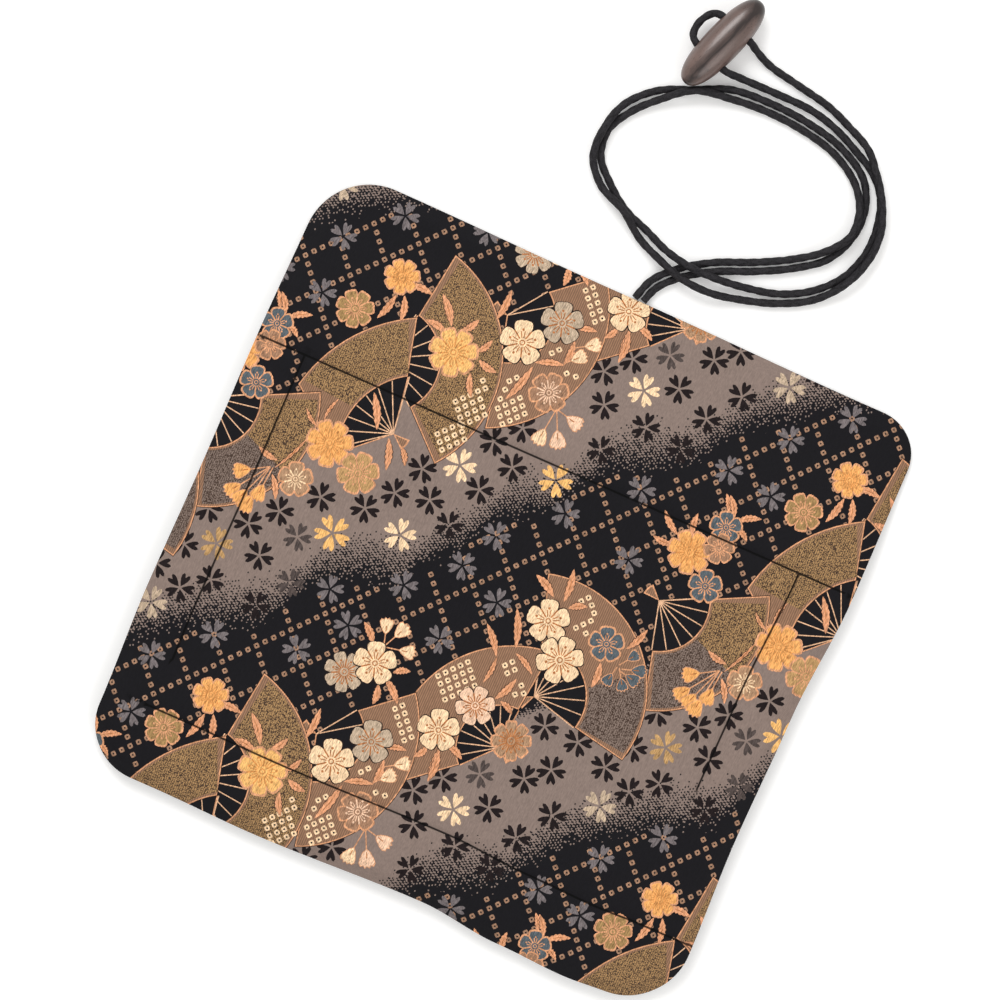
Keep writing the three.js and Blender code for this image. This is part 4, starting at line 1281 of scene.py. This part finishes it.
def make_shell():
    patches = draw_brocade()
    spots, triangles, patch_of = divide_plan(GRID_STEP, patches, RIM_ROWS)
    x, y = np.array(spots).T
    u, v = flat(x, y)
    relief = np.full(len(spots), 1.0)
    for triangle, patch in zip(triangles, patch_of):
        height = patches[patch][3] if patch >= 0 else 0.0
        for corner in triangle:
            relief[corner] = min(relief[corner], height)
    raised = np.minimum(relief, HIGHEST_RELIEF) * MM * smooth(from_edge(u, v) / RELIEF_FADE)
    top = shell_over(u, v) + raised
    used = sorted({corner for triangle in triangles for corner in triangle})
    order = {corner: k for k, corner in enumerate(used)}
    vertices = [(x[c], y[c], top[c]) for c in used]
    faces = [tuple(order[c] for c in triangle) for triangle in triangles]

    base_spots, base_triangles, _ = divide_plan(UNDERSIDE_STEP, [], RIM_ROWS[::2])
    base_x, base_y = np.array(base_spots).T
    base_u, base_v = flat(base_x, base_y)
    under = shell_under(base_u, base_v)
    first = len(vertices)
    vertices += list(zip(base_x, base_y, under))
    faces += [tuple(first + c for c in reversed(triangle)) for triangle in base_triangles]

    shell = add_mesh("brocade_shell", vertices, faces, brocade_material())
    close_rim(shell)
    paint_shell(shell, patches, patch_of, x / MM, y / MM, used)
    # Painted shade along the seams, kept on the points for the material
    painted_seam_shade = seam_painted_shade(u, v)
    add_point_values(shell, "painted_seam_shade", [*painted_seam_shade[used], *np.zeros(len(shell.data.vertices) - first)])
    add_bake_map(shell, len(triangles))
    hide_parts("outer_shell")


def close_rim(shell):
    """Joins the rims of the top and the underside."""
    mesh = bmesh.new()
    mesh.from_mesh(shell.data)
    open_edges = [edge for edge in mesh.edges if edge.is_boundary]
    bmesh.ops.bridge_loops(mesh, edges=open_edges)
    bmesh.ops.triangulate(mesh, faces=[face for face in mesh.faces if len(face.verts) > 3])
    mesh.to_mesh(shell.data)
    mesh.free()
    shell.data.shade_smooth()


def paint_shell(shell, patches, patch_of, x, y, used):
    mesh = shell.data
    tone = band_tone(x, y)
    thread = mesh.color_attributes.new("thread", "FLOAT_COLOR", "CORNER")
    weave = mesh.color_attributes.new("weave", "FLOAT_COLOR", "CORNER")
    threads, weaves = [], []
    for polygon in mesh.polygons:
        patch = patch_of[polygon.index] if polygon.index < len(patch_of) else -1
        for corner in polygon.vertices:
            level = tone[used[corner]] if corner < len(used) else 0.0
            if patch < 0:
                threads += BLACK
                weaves += (1.0, 0.0, level, 1.0)
                continue
            _, color, kind, _ = patches[patch]
            threads += color
            weaves += (float(kind == "ground"), WEAVES[kind], 0.0, 1.0)
    thread.data.foreach_set("color", threads)
    weave.data.foreach_set("color", weaves)


# Grid of the plain cloth layers, its closest lines, the threads' pitch and the grid's lines beside a seam
CLOTH_STEP = 0.0025
POCKET_STEP = 0.0016
CLOSEST_LINES = 0.0002
CLOTH_THREAD = 0.0006
STITCH_ASIDE = 0.0005


def grid_lines(start, end, step, between=()):
    """Places from start to end at most a step apart, the ones in between among them."""
    wanted = sorted({start, end, *(place for place in between if start < place < end)})
    kept = [wanted[0]]
    for place in wanted[1:]:
        if place - kept[-1] > CLOSEST_LINES:
            kept.append(place)
    lines = [kept[0]]
    for first, second in zip(kept, kept[1:]):
        count = max(1, math.ceil((second - first) / step))
        lines += [first + (second - first) * k / count for k in range(1, count + 1)]
    return lines


def make_layer(name, us, vs, under, over, material):
    """A closed sheet of cloth between two height functions, on a grid of the flat rectangle."""
    u, v = (side.ravel() for side in np.meshgrid(us, vs))
    x, y = plan(u, v)
    vertices = [*zip(x, y, under(u, v)), *zip(x, y, over(u, v))]
    wide, deep = len(us), len(vs)
    layer = wide * deep
    faces = []
    for j in range(deep - 1):
        for i in range(wide - 1):
            a, b, c, d = j * wide + i, j * wide + i + 1, (j + 1) * wide + i + 1, (j + 1) * wide + i
            faces += [(a, d, c, b), (a + layer, b + layer, c + layer, d + layer)]
    rim = [*range(wide - 1), *range(wide - 1, layer - 1, wide)]
    rim += [*range(layer - 1, layer - wide, -1), *range(layer - wide, 0, -wide)]
    for start, end in zip(rim, rim[1:] + rim[:1]):
        faces.append((start, end, end + layer, start + layer))
    return add_mesh(name, vertices, faces, material)


def cloth_material(name, dark, light):
    """A plain weave with faint slubs."""
    nodes = Nodes(name)
    warp, weft = nodes.wave(CLOTH_THREAD, "X"), nodes.wave(CLOTH_THREAD, "Y")
    weave = nodes.math("MULTIPLY_ADD", warp, 0.5, nodes.math("MULTIPLY", weft, 0.5))
    slubs = nodes.noise(700, 3.0)
    shade = nodes.math("MULTIPLY_ADD", slubs, 0.7, nodes.math("MULTIPLY", weave, 0.4))
    nodes.set(Base_Color=nodes.mix(shade, dark, light), Roughness=0.82, Sheen_Weight=0.15)
    creases = nodes.noise(45, 3.0)
    nodes.bump(nodes.math("MULTIPLY_ADD", creases, 3.0, weave), 0.00016, 0.6)
    return nodes.material


def make_lining():
    us, vs = (
        grid_lines(-half, half, CLOTH_STEP, [side * (half - row) for row in RIM_ROWS for side in (-1, 1)])
        for half in (HALF_WIDTH, HALF_DEPTH)
    )

    def over(u, v):
        return lining_under(u, v) + LINING_THICKNESS

    material = cloth_material("lining_cloth", tint(22, 20, 20), tint(48, 44, 42))
    lining = make_layer("lining_sheet", us, vs, lining_under, over, material)
    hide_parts("lining")


def make_padding():
    us, vs = (
        grid_lines(PADDING_INSET - half, half - PADDING_INSET, CLOTH_STEP)
        for half in (HALF_WIDTH, HALF_DEPTH)
    )

    def under(u, v):
        return lining_under(u, v) + LINING_THICKNESS + LAYER_GAP

    def over(u, v):
        return under(u, v) + padding_height(u, v)

    nodes = Nodes("wadding")
    color = nodes.mix(nodes.noise(380, 5.0), tint(205, 200, 190), tint(240, 236, 228))
    nodes.set(Base_Color=color, Roughness=0.95)
    nodes.bump(nodes.noise(900, 5.0), 0.0003, 0.6)
    padding = make_layer("wadding_sheet", us, vs, under, over, nodes.material)
    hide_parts("padding")


def sewn_under(u, v, thickness):
    """Where cloth of that thickness lies when it is sewn to the lining."""
    return lining_under(u, v) - LAYER_GAP - thickness


def pocket_thickness(u):
    return POCKET_THICKNESS + MOUTH_HEM_EXTRA * smooth((u - SLOT_MOUTH + MOUTH_HEM_WIDTH) / CLOTH_THREAD)


def pocket_under(u, v):
    lying = MOUTH_LIFT * smooth((u - FLAP_TIP + SLOT_LIFT_RUN) / (SLOT_LIFT_RUN - LAYER_GAP))
    from_stitch = np.abs(v - SLOT_FRONT - np.round((v - SLOT_FRONT) / SLOT_WIDTH) * SLOT_WIDTH)
    hang = smooth(from_stitch / SLOT_STITCH_RISE) * smooth((u - SLOT_LEFT) / SLOT_END_RISE)
    sewn = sewn_under(u, v, pocket_thickness(u))
    return sewn + (lying - sewn) * hang


def make_pocket_panel():
    stitches = [SLOT_FRONT + k * SLOT_WIDTH for k in range(SLOT_COUNT + 1)]
    beside = [place + side * STITCH_ASIDE for place in stitches for side in (-1, 0, 1)]
    hem = SLOT_MOUTH - MOUTH_HEM_WIDTH
    us = grid_lines(SLOT_LEFT, SLOT_MOUTH, POCKET_STEP, [hem, hem + CLOTH_THREAD, FLAP_TIP])
    vs = grid_lines(SLOT_FRONT, SLOT_BACK, POCKET_STEP, beside)
    material = cloth_material("pocket_cloth", tint(28, 25, 24), tint(62, 56, 52))

    def over(u, v):
        return pocket_under(u, v) + pocket_thickness(u)

    panel = make_layer("pocket_sheet", us, vs, pocket_under, over, material)
    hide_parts("pocket_panel")
    return panel, material


def flap_under(u, v):
    start = FLAP_ROOT - FLAP_RISE
    return sewn_under(u, v, FLAP_THICKNESS) * smooth((u - start) / (FLAP_RISE - FLAP_ROOT_WIDTH))


def make_flap(material):
    us = grid_lines(FLAP_TIP, FLAP_ROOT, POCKET_STEP)
    vs = grid_lines(SLOT_FRONT, SLOT_BACK, CLOTH_STEP)

    def over(u, v):
        return flap_under(u, v) + FLAP_THICKNESS

    flap = make_layer("flap_sheet", us, vs, flap_under, over, material)
    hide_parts("cover_flap")


# Machine stitches on the underside: length, gap, thickness and how far they lie in from an edge
STITCH_LENGTH = 0.0024
STITCH_GAP = 0.0008
STITCH_RADIUS = 0.00022
STITCH_INSET = 0.001
STITCH_RINGS = 5
STITCH_SIDES = 6


def make_stitches(name, lines, under, material):
    """A row of stitches along each line of flat points, lying against the cloth from below."""
    vertices, faces = [], []
    for (u0, v0), (u1, v1) in lines:
        length = math.hypot(u1 - u0, v1 - v0)
        count = int((length + STITCH_GAP) / (STITCH_LENGTH + STITCH_GAP))
        for k in range(count):
            first = len(vertices)
            start = k * (STITCH_LENGTH + STITCH_GAP)
            parts = (start + STITCH_LENGTH * np.arange(STITCH_RINGS) / (STITCH_RINGS - 1)) / length
            u, v = u0 + (u1 - u0) * parts, v0 + (v1 - v0) * parts
            x, y = plan(u, v)
            z = under(u, v)
            ahead = Vector((x[-1] - x[0], y[-1] - y[0], 0)).normalized()
            aside = Vector((-ahead.y, ahead.x, 0))
            for ring in range(STITCH_RINGS):
                bulge = math.sin(math.pi * (ring + 0.5) / STITCH_RINGS)
                radius = STITCH_RADIUS * (0.45 + 0.55 * bulge)
                for side in range(STITCH_SIDES):
                    angle = 2 * math.pi * side / STITCH_SIDES
                    spot = Vector((x[ring], y[ring], z[ring] - STITCH_RADIUS * bulge))
                    spot += aside * (radius * math.cos(angle)) + Vector((0, 0, radius * math.sin(angle)))
                    vertices.append(spot)
            faces += tube_faces(first, STITCH_RINGS, STITCH_SIDES)
            faces.append(tuple(range(first, first + STITCH_SIDES)))
            faces.append(tuple(reversed(range(len(vertices) - STITCH_SIDES, len(vertices)))))
    thread = add_mesh(name, vertices, faces, material)
    return thread


def make_seam_threads():
    nodes = Nodes("sewing_thread")
    color = nodes.mix(nodes.noise(2500, 2.0), tint(52, 46, 42), tint(96, 88, 80))
    nodes.set(Base_Color=color, Roughness=0.6)
    front, back = SLOT_FRONT + STITCH_INSET, SLOT_BACK - STITCH_INSET
    dividers = [SLOT_FRONT + k * SLOT_WIDTH for k in range(1, SLOT_COUNT)]
    rows = [((SLOT_LEFT + STITCH_INSET, v), (FLAP_TIP - STITCH_INSET, v)) for v in (front, *dividers, back)]
    rows.append(((SLOT_LEFT + STITCH_INSET, front), (SLOT_LEFT + STITCH_INSET, back)))
    on_pocket = make_stitches("pocket_stitching", rows, pocket_under, nodes.material)
    root = FLAP_ROOT - STITCH_INSET
    make_stitches("flap_stitching", [((root, front), (root, back))], flap_under, nodes.material)
    return on_pocket


make_camera()
make_stage()
cord, cord_spots = make_cord()
toggle = make_toggle()
make_shell()
make_padding()
make_lining()
panel, pocket_cloth = make_pocket_panel()
make_flap(pocket_cloth)
pocket_thread = make_seam_threads()
